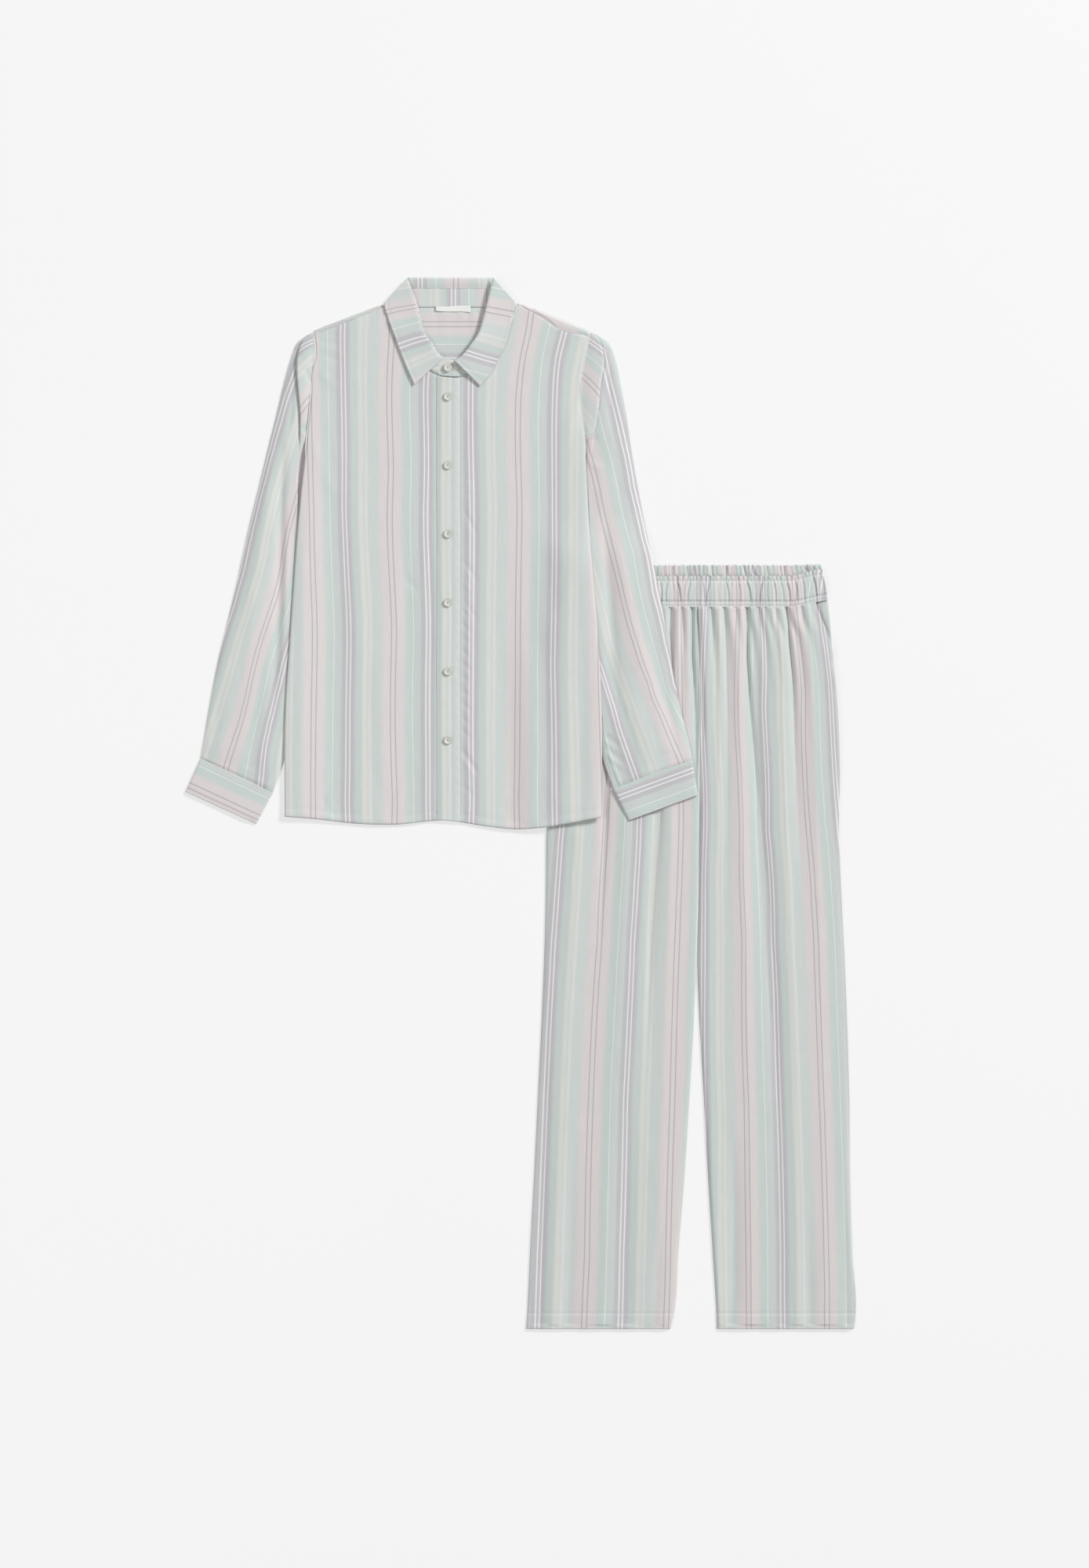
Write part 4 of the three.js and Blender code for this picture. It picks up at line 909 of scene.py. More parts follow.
def cuff_shell(side, rows, start):
    """A cuff as a flat tube, its stripes all round it; start is their place at the sleeve's seam."""
    steps, columns = 30, 44
    shares = 0.5 - 0.5 * np.cos(np.linspace(0, math.pi, columns + 1))
    across, down = ruled(rows, shares, steps)
    solid = Solid(f"cuff_{side}", SHIRT)
    top = solid.top(across, down, rows=1.0, columns=1.0)
    low = solid.underside(across, down, rows=1.0, columns=1.0)
    t = unit_grid(steps + 1, columns + 1)[0]
    width = np.hypot(across[:, -1:] - across[:, :1], down[:, -1:] - down[:, :1])
    edge = np.minimum(shares, 1 - shares) * width
    for place in (CUFF_SEWING, CUFF_LENGTH - CUFF_SEWING):
        top = top - 0.3 * bell(t * CUFF_LENGTH - place, 0.9)
    top = top + 0.35 * np.sin(shares * 7 + 2 * t) - 0.3 * (1 - smooth(t * 10))
    stripe = start - 0.93 * t * CUFF_LENGTH / REPEAT
    return tube_shell(across, down, edge, top, low, CUFF_WALL, stripe, across)


shirt_cloth("cloth_sleeve_left", sleeve_shell(
    "left", SLEEVE_LEFT, SLEEVE_LEFT_FOLDS, groove=2.4), "sleeve_left")
shirt_cloth("cloth_sleeve_right", sleeve_shell(
    "right", SLEEVE_RIGHT, SLEEVE_RIGHT_FOLDS, groove=0.9), "sleeve_right")
cuff_left = shirt_cloth("cloth_cuff_left", cuff_shell("left", CUFF_LEFT, start=0.895), "cuff_left")
cuff_right = shirt_cloth("cloth_cuff_right", cuff_shell("right", CUFF_RIGHT, start=1.12), "cuff_right")


# Collar, stand and label
def leaf_shell(solid, rows, part, edge_lift, roll_lift, roll_fall):
    """A collar leaf: its outer edge and the cloth beside its roll rise, the roll's own side falls."""
    steps, columns = 90, 30
    share = np.linspace(0, 1, columns + 1)
    across, down = ruled(rows, share, steps)
    base = solid.top(across, down, rows=1.5, columns=1.0) + 0.2
    # The roll's rounded side would pull the first columns down, so they keep the fifth one's height
    base[:, :4] = base[:, 4:5]
    width = np.hypot(across[:, -1:] - across[:, :1], down[:, -1:] - down[:, :1])
    middle = columns // 2
    along = travelled(np.stack([across[:, middle], down[:, middle]], -1))[:, None]
    rise = roll_lift * (0.85 + 0.5 * smooth((along - 45) / 45))
    height = base + side_roll(share * width, roll_fall, 3.5)
    height = height + edge_lift * share ** 2 * smooth(along / 30) + rise * (1 - share) ** 2
    for distance in ((1 - share) * width, along[-1] - along):
        height = height - 0.25 * bell(distance - LEAF_SEWING, 0.8)
    height = np.maximum(height + 0.25 * np.sin(along * 0.11 + 2 * share), 1.1)
    return grid_shell(across, down, height, phase(part, across, down), 0.9)


def collar_shell():
    """The two leaves, the roll behind the neck and the fall, which lies flat under all of it."""
    solid = Solid("collar", SHIRT)
    left = leaf_shell(
        solid, LEAF_LEFT, "leaf_left", edge_lift=1.1, roll_lift=0.4, roll_fall=0.4)
    right = leaf_shell(
        solid, LEAF_RIGHT, "leaf_right", edge_lift=0.5, roll_lift=3.6, roll_fall=1.3)
    t, share = unit_grid(16, 60)
    x, d = lerp(-52.8, 58, share), lerp(0.4, 14.6, t)
    z = 3.4 - SINK + side_roll(d - 0.4, 1.8, 3.0) - 1.15 * smooth((d - 7) / 7.6)
    roll = grid_shell(x, d, z, -(x + 37.0) / REPEAT, 0.6)
    t, share = unit_grid(20, 40)
    reach = smooth(t * 1.4)
    x = lerp(lerp(-53, -80.5, reach), lerp(58.2, 86, reach), share)
    fall = grid_shell(x, lerp(0.6, 52, t), np.full(x.shape, 0.95), -(x + 37.0) / REPEAT, 0.8)
    return joined(left, right, roll, fall)


def stand_shell():
    """The stand's two sides with their tabs, and its stretch behind the neck."""
    solid = Solid("collar_stand", SHIRT)
    bands = []
    share = np.linspace(0, 1, 14)
    for rows, start in ((STAND_LEFT, 0.16), (STAND_RIGHT, 0.13)):
        across, down = ruled(rows, share, 90)
        tab = bell(across - 3, 9) * smooth((down - 100) / 10)
        inner_fall = 0.6 * (1 - smooth(share * 6))
        outer_fall = 0.9 * (1 - tab) * (1 - smooth((1 - share) * 5))
        height = solid.top(across, down, rows=1.5, columns=0.5) - inner_fall - outer_fall
        bands.append(grid_shell(across, down, height, start + down / REPEAT, 0.7))
    t, share = unit_grid(14, 50)
    x = lerp(-50, 56, share)
    x = x + 8 * t * np.sign(x) * (np.abs(x) > 44)
    edges = 0.3 * (1 - smooth(t * 9)) + 0.3 * (1 - smooth((1 - t) * 12))
    z = 2.2 - SINK - edges + 0.15 * np.sin(x * 0.3)
    bands.append(grid_shell(x, lerp(13, 39.6, t), z, -(x - 6.7) / REPEAT, 0.5))
    return joined(*bands)


def label_shell():
    t, share = unit_grid(10, 30)
    x = lerp(-17.0, 29.0, share)
    d = 37.6 + t * (6.4 + 2.2 * share) + 0.5 * np.sin(share * 6)
    z = 2.75 + 0.35 * np.sin(share * 5 + 1.2) + 0.2 * t
    return grid_shell(x, d, z, x / REPEAT, 0.3)


collar = shirt_cloth("cloth_collar", collar_shell(), "collar")
shirt_cloth("cloth_stand", stand_shell(), "collar_stand")
cloth_piece("label_blank", label_shell(), SHIRT, TAPE, "neck_label")

# Trousers: the gathers fall from the waistband as upright troughs
GATHERS = [
    [(856, 774, 3.5, -1.8), (855, 810, 4, -1.9), (857, 860, 6, -0.8), (860, 900, 8, 0)],
    [(870, 774, 3, -1.6), (871, 800, 3.5, -1.2), (872, 840, 5, 0)],
    [(883, 774, 2.6, -2.8), (883, 835, 3, -2.8), (885, 870, 4, -2.4), (887, 930, 7, -1.8),
     (888, 1010, 8, 0)],
    [(892.5, 850, 3.5, 0), (893.5, 880, 3.5, -3.8), (894, 925, 3.5, -3.6), (894, 950, 3.5, 0)],
    [(900, 774, 3, -0.5), (901, 800, 4, 0)],
    [(907, 774, 3, -1.3), (909, 810, 3.5, -1.0), (910, 850, 5, 0)],
    [(924, 774, 3.5, -1.6), (926, 840, 4.5, -1.5), (928, 920, 7, -0.9), (928, 1020, 9, -0.5),
     (927, 1200, 10, 0)],
    [(939, 774, 3, -0.8), (941, 800, 3, 0)],
    [(953, 774, 3, -3.1), (953, 840, 3.5, -3.2), (957, 910, 6, -2.5), (965, 1010, 12, -2.0),
     (975, 1130, 14, -1.9), (984, 1250, 13, -2.0), (989, 1340, 12, -1.4), (993, 1460, 14, -0.8),
     (996, 1690, 16, -0.6)],
    [(968, 774, 3, -1.1), (970, 810, 3.5, -0.6), (971, 840, 4, 0)],
    [(976, 774, 2.5, -0.8), (977, 810, 3, 0)],
    [(989, 774, 3, -0.9), (991, 815, 4, 0)],
    [(1003, 774, 3, -3.0), (1007, 820, 3.2, -3.1), (1011, 865, 4.5, -2.5), (1013, 940, 8, -1.6),
     (1017, 1030, 14, -1.0), (1024, 1150, 16, 0)],
    [(1022, 774, 3, -0.9), (1025, 805, 3.5, 0)],
    [(1013, 774, 3, -0.7), (1016, 800, 3, 0)],
    [(864, 774, 8, 0.7), (863, 820, 9, 0.7), (862, 880, 9, 0)],
    [(896, 774, 7, 0.7), (898, 840, 8, 0.8), (902, 960, 10, 0.5), (904, 1200, 14, 0.4),
     (912, 1690, 18, 0.6)],
    [(917, 774, 7, 0.6), (918, 860, 9, 0.7), (917, 1000, 12, 0.5), (915, 1200, 14, 0)],
    [(943, 774, 12, 0.6), (942, 860, 15, 0.8), (944, 1000, 18, 1.0), (950, 1200, 22, 1.1),
     (955, 1400, 26, 0.8), (958, 1690, 26, 0.8)],
    [(994, 774, 10, 0.5), (997, 860, 13, 0.7), (1000, 980, 14, 0.8), (1006, 1150, 16, 0.9),
     (1014, 1340, 20, 0.9), (1020, 1690, 24, 0.7)],
    [(1030, 774, 12, 0.5), (1034, 860, 16, 1.0), (1040, 1000, 20, 0.8), (1048, 1300, 24, 0.6),
     (1052, 1690, 24, 0.7)],
]
LEG_FOLDS = [
    [(836, 800, 10, 0), (840, 1000, 10, -2.2), (838, 1050, 9, -2.6), (834, 1110, 9, -2.0),
     (830, 1190, 9, -1.4), (827, 1280, 9, -0.6), (824, 1360, 10, 0)],
    [(776, 970, 7, -1.0), (772, 1040, 7, -1.6), (769, 1110, 7, -0.9), (764, 1220, 8, 0)],
    [(858, 980, 14, 0), (856, 1060, 16, 1.0), (852, 1200, 18, 0.8), (846, 1400, 18, 0.5),
     (838, 1690, 20, 0.7)],
    [(800, 980, 16, 0.6), (798, 1100, 18, 0.9), (788, 1300, 20, 0.6), (776, 1500, 22, 0.6),
     (768, 1690, 22, 0.8)],
    [(738, 1060, 18, 0.7), (730, 1200, 20, 0.8), (720, 1400, 20, 0.4), (708, 1690, 20, 0.6)],
    [(700, 1240, 12, 0), (696, 1380, 13, -0.9), (692, 1520, 14, -1.2), (688, 1690, 15, -1.2)],
    [(806, 1400, 16, 0), (800, 1520, 18, -1.1), (796, 1690, 18, -1.3)],
    [(732, 1440, 14, 0), (728, 1560, 16, -0.8), (724, 1690, 16, -0.9)],
    [(934, 1440, 12, 0), (936, 1540, 14, -1.2), (935, 1640, 16, -1.5), (934, 1690, 16, -1.0)],
    [(1032, 1540, 12, 0), (1032, 1640, 14, -0.9), (1033, 1690, 14, -1.0)],
    [(1076, 1500, 8, 0), (1078, 1600, 10, -0.6), (1080, 1690, 10, -0.7)],
    [(842, 1560, 10, 0), (838, 1640, 12, -1.0), (836, 1690, 12, -0.8)],
]


def band_lift(across):
    """How far the waistband rises towards its two ends."""
    return -9 * smooth((np.abs(across) - 118) / 50)


def pocket_edge(down):
    """The right front's outer edge, cut back along the slant pocket."""
    return trouser["right"](down) - 17 * (1 - smooth((down - 42) / 76))


def hidden_gathers(across, down):
    """The gathers go on at the same spacing under the sleeve."""
    count, first, spacing = 9, -150, 13.2
    total = np.zeros(np.shape(across))
    for i in range(count):
        middle = first + spacing * i + 3 * math.sin(2.1 * i)
        reach = 60 + 45 * (0.5 + 0.5 * math.sin(1.7 * i))
        depth = 1.2 + 0.8 * math.sin(2.9 * i + 1)
        fade = 1 - smooth((down - BAND_SEAM - 15) / reach)
        total -= depth * fade * bell(across - middle - 0.05 * down, 2.1)
    return total


def leg_relief(side, across, down):
    relief = GATHER_GAIN * folds(across, down, TROUSER_PIXEL, GATHERS, 1.15)
    relief = relief + LEG_FOLD_GAIN * folds(across, down, TROUSER_PIXEL, LEG_FOLDS, 1.6)
    return relief + hidden_gathers(across, down) if side == "left" else relief


def leg_shell(side):
    on_left = side == "left"
    first = trouser["left"] if on_left else trouser["right_inner"]
    last = trouser["left_inner"] if on_left else pocket_edge
    size = 190
    share = unit_grid(size + 1, size + 1)[1]
    # Rows lie close together under the waistband and at the hem
    spacing = np.interp(np.linspace(0, 1, size + 1), [0, 0.3, 0.88, 1], [0, 0.12, 0.965, 1])
    t = spacing[:, None] + np.zeros(size + 1)
    across, down = fitted_grid(
        first, last, lambda x: BAND_SEAM + band_lift(x) - 0.4, constant(TROUSER_LENGTH),
        t, share, lerp(BAND_SEAM, TROUSER_LENGTH, t), 6)
    from_first, from_last = across - first(down), last(down) - across
    # Above the crotch, heights beside the front seam are read a little way off the solid's edge
    clear = 8.0 * smooth((CROTCH - down) / 20)
    if on_left:
        seen = np.minimum(across, last(down) - clear)
    else:
        seen = np.maximum(across, first(down) + clear)
    base = Solid(f"trouser_front_{side}", TROUSER).top(seen, down, rows=2.5, columns=3.0)
    sides = np.minimum(from_first, from_last)
    relief = leg_relief(side, across, down) * smooth(sides / 5)
    # The two fronts are sewn together above the crotch, so only the outer side falls there
    outer_side = from_first if on_left else from_last
    sides = lerp(outer_side, sides, smooth((down - CROTCH + 25) / 40))
    from_hem = TROUSER_LENGTH - down
    hem_turn = 0.35 * smooth((TROUSER_HEM - from_hem) / 3) - 0.5 * bell(from_hem - TROUSER_HEM, 1.1)
    hem_wave = 0.3 * np.sin(across * 0.13 + 1) * smooth((60 - from_hem) / 60)
    puff = 0.4 + 1.0 * smooth((CROTCH + 160 - down) / 260)
    height = base + puff + relief + side_roll(sides, 1.0, 4.5) + hem_turn + hem_wave
    pinch = smooth((down - BAND_SEAM - band_lift(across) + 0.4) / 2.5)
    height = lerp(np.minimum(height, base + 0.2), height, pinch)
    return grid_shell(across, down, np.maximum(height, 1.35), phase(f"leg_{side}", across, down))


def leg_back_shell(side):
    t, share = unit_grid(90, 41)
    share = lerp(0.003, 1, share)
    across, down = fitted_grid(
        trouser[side], trouser[f"{side}_inner"], lambda x: BAND_SEAM + 1 + band_lift(x),
        constant(TROUSER_LENGTH), t, share, lerp(BAND_SEAM + 1, TROUSER_LENGTH, t), 4)
    return grid_shell(across, down, np.full(down.shape, 0.75), phase(f"leg_{side}", across, down), 0.5)


legs = {}
for side in ("left", "right"):
    legs[side] = trouser_cloth(f"cloth_leg_front_{side}", leg_shell(side), f"trouser_front_{side}")
    trouser_cloth(f"cloth_leg_back_{side}", leg_back_shell(side), f"trouser_back_{side}")

# Waistband: troughs between its stitch rows, (top x, foot x, depth) in photo pixels and millimetres
BAND_FOLDS = [
    (851, 849, 1.6), (857, 859, 0.9), (863, 868, 2.2), (874, 872, 1.0), (880, 877, 1.5),
    (888, 888, 0.8), (895, 897, 1.0), (905, 900, 1.7), (917, 917, 0.8), (925, 929, 1.5),
    (933, 932, 0.9), (941, 943, 1.3), (952, 957, 2.2), (962, 963, 0.8), (972, 969, 2.0),
    (979, 979, 1.0), (986, 989, 1.5), (995, 999, 1.2), (1003, 1007, 2.2), (1013, 1017, 1.5),
    (1023, 1025, 1.2), (1036, 1041, 2.0), (1046, 1051, 1.1)]


def band_places():
    """Troughs of the seen stretch, and uneven ones where the sleeve hides the band."""
    middle = TROUSER_PIXEL[0]
    seen = [((top - middle) * PHOTO_SCALE, (foot - middle) * PHOTO_SCALE, depth)
            for top, foot, depth in BAND_FOLDS]
    hidden = []
    count, first, spacing = 14, -163, 8.9
    for i in range(count):
        place = first + spacing * i
        hidden.append((place + 1.8 * math.sin(2.3 * i), place + 2.4 * math.sin(1.7 * i),
                       1.3 + 0.6 * math.sin(2.9 * i)))
    return seen + hidden


def band_grid(columns, rows, top, foot):
    """A grid of the band, and each point's place along it as if its ends were straight."""
    t, share = unit_grid(rows + 1, columns + 1)
    x = lerp(-166.0, 166.0, share)
    down = lerp(top, foot, t) + band_lift(x)
    across = lerp(trouser["left"](down) + 1.5, trouser["right"](down) - 0.5, share)
    return across, down, x


def ruffle(x, depth, foot):
    """Fine upright flutes of a frill, deepest at its free edge."""
    narrow = np.sin(x * 1.02 + 1.6 * np.sin(x * 0.13))
    wide = 0.7 * np.sin(x * 0.61 + 2.1 * np.sin(x * 0.09 + 1))
    return 0.5 * (narrow + wide) * (1 - 0.35 * smooth(depth / foot))


def band_phase(across, x):
    """The band goes on with the legs' stripes, a little uneven where the elastic draws them in."""
    down = np.full(across.shape, 56.0)
    left, right = phase("leg_left", across, down) - 2, phase("leg_right", across, down) - 1
    return lerp(left, right, smooth((across + 3) / 6)) + 0.02 * np.sin(x * 0.37)


def band_front_shell():
    across, down, x = band_grid(columns=420, rows=44, top=BAND_TOP, foot=BAND_SEAM + 0.8)
    base = Solid("waistband_front", TROUSER).top(across, down, rows=1.2, columns=6.0)
    depth = down - band_lift(x) - BAND_TOP
    upper, lower = STITCH_ROWS[:2]
    body = smooth((depth - upper) / 3) * smooth((lower - depth) / 3)
    t = np.clip((depth - upper) / (lower - upper), 0, 1)
    height = base + 0.9 * body
    for top, foot, deep in band_places():
        middle = lerp(top, foot, t) + 1.2 * np.sin(math.pi * t) * (1 if foot > top else -1)
        height = height - (0.4 + 0.42 * body) * deep * bell(across - middle, 0.8)
        height = height + 0.3 * deep * body * bell(across - middle - 2.6, 1.5)
    fine = 0.14 * np.sin(x * 1.37 + 2.0 * np.sin(x * 0.07)) + 0.1 * np.sin(x * 2.1 + np.sin(x * 0.2))
    sewn = sum(bell(depth - place, 0.9) for place in STITCH_ROWS)
    frill = 1 - smooth((depth - 1) / 5)
    height = height + 0.5 + fine - 0.6 * sewn + ruffle(x, depth, 6.0) * frill
    wave = 0.55 * np.sin(x * 0.9 + 2 * np.sin(x * 0.13)) * (1 - smooth(depth / 5))
    return grid_shell(across, down + wave, np.maximum(height, 3.3), band_phase(across, x))


def band_back_shell():
    """The band's back half: its frill, cut by narrow slits, shows above the front half."""
    across, down, x = band_grid(columns=360, rows=26, top=0.0, foot=BAND_SEAM - 0.5)
    base = Solid("waistband_back", TROUSER).top(across, down, rows=0.8, columns=6.0)
    depth = down - band_lift(x)
    frill = 1 - smooth((depth - 10) / 6)
    slits = np.zeros(x.shape)
    count, first, spacing = 44, -164, 7.6
    for i in range(count):
        middle = first + spacing * i + 2.4 * math.sin(2.7 * i)
        deep = 1.1 + 0.9 * math.sin(1.9 * i + 0.6)
        slits += deep * bell(x - middle - 0.12 * depth * math.sin(1.3 * i), 1.1)
    height = base + 0.9 * frill + (0.6 * ruffle(x + 40, depth, 14.0) - slits) * frill
    wave = 0.6 * np.sin(x * 0.8 + 2 * np.sin(x * 0.17)) * (1 - smooth(depth / 8))
    # The free edge runs straighter than the seam
    down = down + wave - band_lift(x) * (1 - smooth(depth / 14)) * 0.9
    return grid_shell(across, down, np.maximum(height, 0.5), band_phase(across + 12, x))


def facing_shell():
    t, share = unit_grid(34, 14)
    down = lerp(45, 118, t)
    edge = trouser["right"](down) - 0.4
    across = lerp(edge - 22, edge, share)
    height = 2.1 + side_roll(edge - across, 0.6, 2.5) + 0.3 * np.sin(down * 0.12 + share * 3)
    height = height - 0.75 * bell(across - pocket_edge(down) - 0.6, 1.3)
    return grid_shell(across, down + (1 - share) * 2, height, phase("leg_right", across, down) + 0.04)


band_front = trouser_cloth("cloth_band_front", band_front_shell(), "waistband_front")
trouser_cloth("cloth_band_back", band_back_shell(), "waistband_back")
trouser_cloth("cloth_pocket_facing", facing_shell(), "pocket_facing")


# Small round things: buttons, their thread and stitches
def circle(count):
    return [2 * math.pi * k / count for k in range(count)]


def between_rings(rings, around, start=0, flipped=False):
    """Faces from each ring of points to the next."""
    faces = []
    for ring in range(rings - 1):
        for k in range(around):
            here = start + ring * around + k
            beside = start + ring * around + (k + 1) % around
            if flipped:
                faces.append((here, beside, beside + around, here + around))
            else:
                faces.append((here, here + around, beside + around, beside))
    return faces


def capped_tube(rings, around, start):
    """Faces of a tube that is closed at both its ends."""
    last = start + (rings - 1) * around
    return between_rings(rings, around, start, True) + [
        tuple(range(start + around - 1, start - 1, -1)), tuple(range(last, last + around))]


# A button's dished profile from its middle round the rolled rim: (share of the radius, height)
BUTTON_RADIUS = 5.6
BUTTON_PROFILE = [
    (0.0, 1.25), (0.22, 1.22), (0.5, 1.25), (0.64, 1.5), (0.76, 1.95), (0.87, 2.1), (0.96, 1.9),
    (1.0, 1.3), (0.97, 0.6), (0.85, 0.15), (0.0, 0.1)]
# A hole's dark dish of painted shade: (radius, height), and how far the four holes stand from the
# middle
HOLE_PROFILE = [(0.52, 1.27), (0.4, 1.29), (0.0, 1.275)]
HOLE_REACH = 1.05
# A thread bar from hole to hole: (share of its length, rise)
BAR_PROFILE = [(0.0, -0.15), (0.2, 0.12), (0.5, 0.2), (0.8, 0.12), (1.0, -0.15)]
BAR_RADIUS, BAR_HEIGHT, BAR_OFFSET = 0.17, 1.36, 0.16


def turned(profile, around, x=0.0, y=0.0):
    return [(x + radius * math.cos(angle), y + radius * math.sin(angle), height)
            for radius, height in profile for angle in circle(around)]


def thread_bar(x1, y1, x2, y2):
    length = math.hypot(x2 - x1, y2 - y1)
    ux, uy = (x2 - x1) / length, (y2 - y1) / length
    points = []
    for share, rise in BAR_PROFILE:
        for angle in circle(8):
            side, along = BAR_RADIUS * math.cos(angle), share * length
            points.append((x1 + ux * along - uy * side, y1 + uy * along + ux * side,
                           BAR_HEIGHT + rise + BAR_RADIUS * math.sin(angle)))
    return points


def add_button(name, node, turn):
    """A dished disc with a rolled rim, four small holes drawn as dark dishes of painted shade, and two
    pairs of thread bars.
    """
    low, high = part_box(node)
    centre = (low + high) / 2

    def place(part, points, faces, material):
        placed = [(centre.x + x * MM, centre.y + y * MM, low.z + z * MM) for x, y, z in points]
        piece = make_object(part, placed, faces, None, material)
        return piece

    around = 48
    disc = [(BUTTON_RADIUS * share, height) for share, height in BUTTON_PROFILE]
    faces = between_rings(len(disc), around)
    piece = place(name, turned(disc, around), faces, PEARL)
    weld = piece.modifiers.new("weld", "WELD")
    weld.merge_threshold = 0.00002
    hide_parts(node)
    corners = [(HOLE_REACH * math.cos(turn + math.pi / 4 + angle),
                HOLE_REACH * math.sin(turn + math.pi / 4 + angle)) for angle in circle(4)]
    points, faces = [], []
    for (x1, y1), (x2, y2) in (corners[:2], corners[2:]):
        for offset in (-BAR_OFFSET, BAR_OFFSET):
            wider = 1 + offset * 0.4
            faces += capped_tube(len(BAR_PROFILE), 8, len(points))
            points += thread_bar(x1 * wider, y1 + offset, x2 * wider, y2 + offset)
    place(f"{name}_thread", points, faces, THREAD)
    points, faces = [], []
    for x, y in corners:
        faces += between_rings(len(HOLE_PROFILE), 12, len(points), True)
        points += turned(HOLE_PROFILE, 12, x, y)
    place(f"{name}_holes", points, faces, HOLE_SHADE)


add_button("button_stand_disc", "button_stand", 0.3)
for i in range(1, 7):
    add_button(f"button_{i}_disc", f"button_{i}", 0.5 * i)

# A stitch: from one to the next, its length and radius, and the steepest place that takes one
STITCH_PITCH, STITCH_LENGTH, STITCH_RADIUS, STITCH_RISE = 3.0, 2.1, 0.13, 1.2
# Its three rings: (share of its length, lift, share of its radius)
STITCH_PROFILE = [(0.0, -0.08, 0.6), (0.5, 0.06, 1.0), (1.0, -0.08, 0.6)]


def stitches(name, piece, lines, origin):
    """Short threads in a row along lines of [across, down] points, laid on a piece's upper face."""
    tree = surface(piece.data)
    points, faces = [], []
    for line in lines:
        marks = travelled(line)
        for start in np.arange(STITCH_PITCH / 2, marks[-1] - STITCH_LENGTH, STITCH_PITCH):
            at = [start + share * STITCH_LENGTH for share, _, _ in STITCH_PROFILE]
            x, d = np.interp(at, marks, line[:, 0]), np.interp(at, marks, line[:, 1])
            above = in_frame(np.stack([x, d, np.full(3, 0.1 / MM)], -1), origin)
            hits = [tree.ray_cast(Vector(place), DOWNWARD)[0] for place in above]
            if None in hits:
                continue
            z = [hit.z / MM for hit in hits]
            if max(z) - min(z) > STITCH_RISE:
                continue
            way = np.array([x[2] - x[0], d[2] - d[0]]) / STITCH_LENGTH
            faces += capped_tube(3, 6, len(points))
            for i, (_, lift, size) in enumerate(STITCH_PROFILE):
                for angle in circle(6):
                    side = STITCH_RADIUS * size * math.cos(angle)
                    rise = lift + STITCH_RADIUS * size * math.sin(angle)
                    points.append((x[i] - way[1] * side, d[i] + way[0] * side, z[i] + rise))
    made = make_object(name, in_frame(np.array(points), origin), faces, None, THREAD)


def line_of(across, down):
    across, down = np.broadcast_arrays(np.asarray(across, float), np.asarray(down, float))
    return np.stack([across, down], -1)


def leaf_lines(rows):
    """Sewing along a collar leaf's outer edge and across its end."""
    across, down = ruled(rows, [1 - LEAF_SEWING / LEAF_WIDTH], 60)
    edge = line_of(across[3:-4, 0], down[3:-4, 0])
    ends_x, ends_d = ruled(rows, np.linspace(0.08, 0.9, 20), 60)
    return [edge, line_of(ends_x[-5], ends_d[-5])]


def cuff_lines(rows):
    """Sewing along both ends of a cuff."""
    across, down = ruled(rows, np.linspace(0.03, 0.97, 30), int(CUFF_LENGTH))
    sewn = int(CUFF_SEWING)
    return [line_of(across[row], down[row]) for row in (sewn, int(CUFF_LENGTH) - sewn)]


down = np.arange(136.0, 712.0, 4.0)
hem_left, hem_right = np.arange(-213.0, -17.0, 3.0), np.arange(18.0, 199.0, 3.0)
SHIRT_STITCHES = [
    ("placket", placket, [line_of(x, down) for x in (-PLACKET_HALF + 3, PLACKET_HALF - 3)]),
    ("hem_left", front_left, [line_of(hem_left, hem(hem_left) - SHIRT_HEM)]),
    ("hem_right", front_right, [line_of(hem_right, hem(hem_right) - SHIRT_HEM)]),
    ("collar", collar, leaf_lines(LEAF_LEFT) + leaf_lines(LEAF_RIGHT)),
    ("cuff_left", cuff_left, cuff_lines(CUFF_LEFT)),
    ("cuff_right", cuff_right, cuff_lines(CUFF_RIGHT)),
]
for name, piece, lines in SHIRT_STITCHES:
    stitches(f"stitches_{name}", piece, lines, SHIRT)
x = np.arange(-164.0, 165.0, 2.0)
band_lines = [line_of(x, BAND_TOP + place + band_lift(x)) for place in STITCH_ROWS]
stitches("stitches_band", band_front, band_lines, TROUSER)
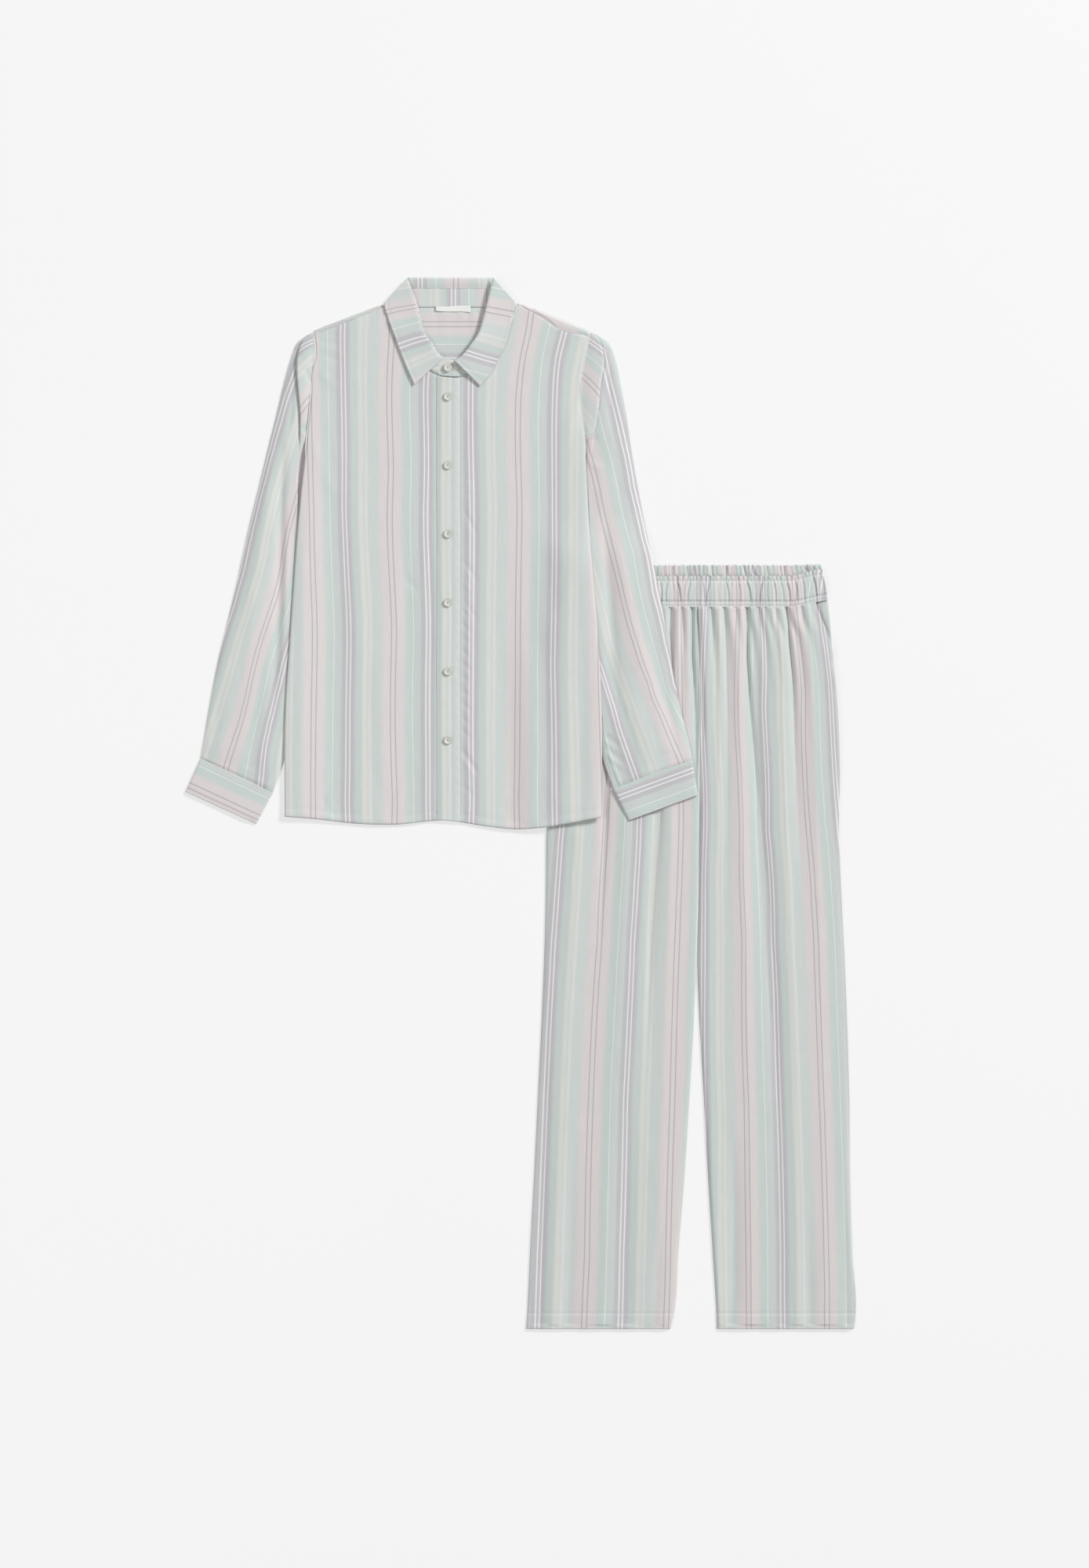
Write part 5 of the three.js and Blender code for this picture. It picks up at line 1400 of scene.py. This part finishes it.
for side in ("left", "right"):
    first, last = sorted((trouser[side](990.0), trouser[f"{side}_inner"](990.0)))
    leg_hem = line_of(np.arange(first + 3, last - 3, 3.0), TROUSER_LENGTH - TROUSER_HEM)
    stitches(f"stitches_leg_hem_{side}", legs[side], [leg_hem], TROUSER)


# Surroundings: floor, light and camera
FLOOR_HEIGHT = -0.0004
FLOOR_GLOW = 0.575
WORLD_LIGHT = 0.41
CAMERA_PLACE = (0.0317, 0.0251, 7.0)
SENSOR = 36.0


def floor():
    bpy.ops.mesh.primitive_plane_add(size=60, location=(0, 0, FLOOR_HEIGHT))
    plane = bpy.context.object
    plane.name = "studio_floor"
    paper = plain_material(
        "studio_paper", (158, 158, 158), 0.9, 2.0, variation=0.002, bump=0.0, specular=0.1)
    set_inputs(paper.node_tree.nodes["Principled BSDF"], {
        "Emission Color": (1, 1, 1, 1), "Emission Strength": FLOOR_GLOW})
    plane.data.materials.append(paper)


def light(name, place, size, energy):
    data = bpy.data.lights.new(name, "AREA")
    data.shape = "DISK"
    data.size = size
    data.energy = energy
    lamp = bpy.data.objects.new(name, data)
    lamp.location = place
    lamp.rotation_euler = (-Vector(place)).to_track_quat("-Z", "Y").to_euler()
    bpy.context.scene.collection.objects.link(lamp)


def world():
    sky = bpy.data.worlds.new("studio")
    sky.use_nodes = True
    set_inputs(sky.node_tree.nodes["Background"], {"Color": (1, 1, 1, 1), "Strength": WORLD_LIGHT})
    bpy.context.scene.world = sky


def camera():
    """Looks straight down from far off, at the photo's scale."""
    data = bpy.data.cameras.new("camera")
    data.sensor_fit = "VERTICAL"
    data.sensor_height = SENSOR
    data.lens = SENSOR * CAMERA_PLACE[2] / (PHOTO_HEIGHT * PHOTO_SCALE * MM)
    view = bpy.data.objects.new("camera", data)
    view.location = CAMERA_PLACE
    bpy.context.scene.collection.objects.link(view)
    bpy.context.scene.camera = view


floor()
world()
bpy.context.scene.view_settings.view_transform = "Standard"
light("key", place=(7.35, 5.85, 6.15), size=2.7, energy=1015)
light("fill", place=(-2.6, -0.8, 3.4), size=2.5, energy=38)
camera()
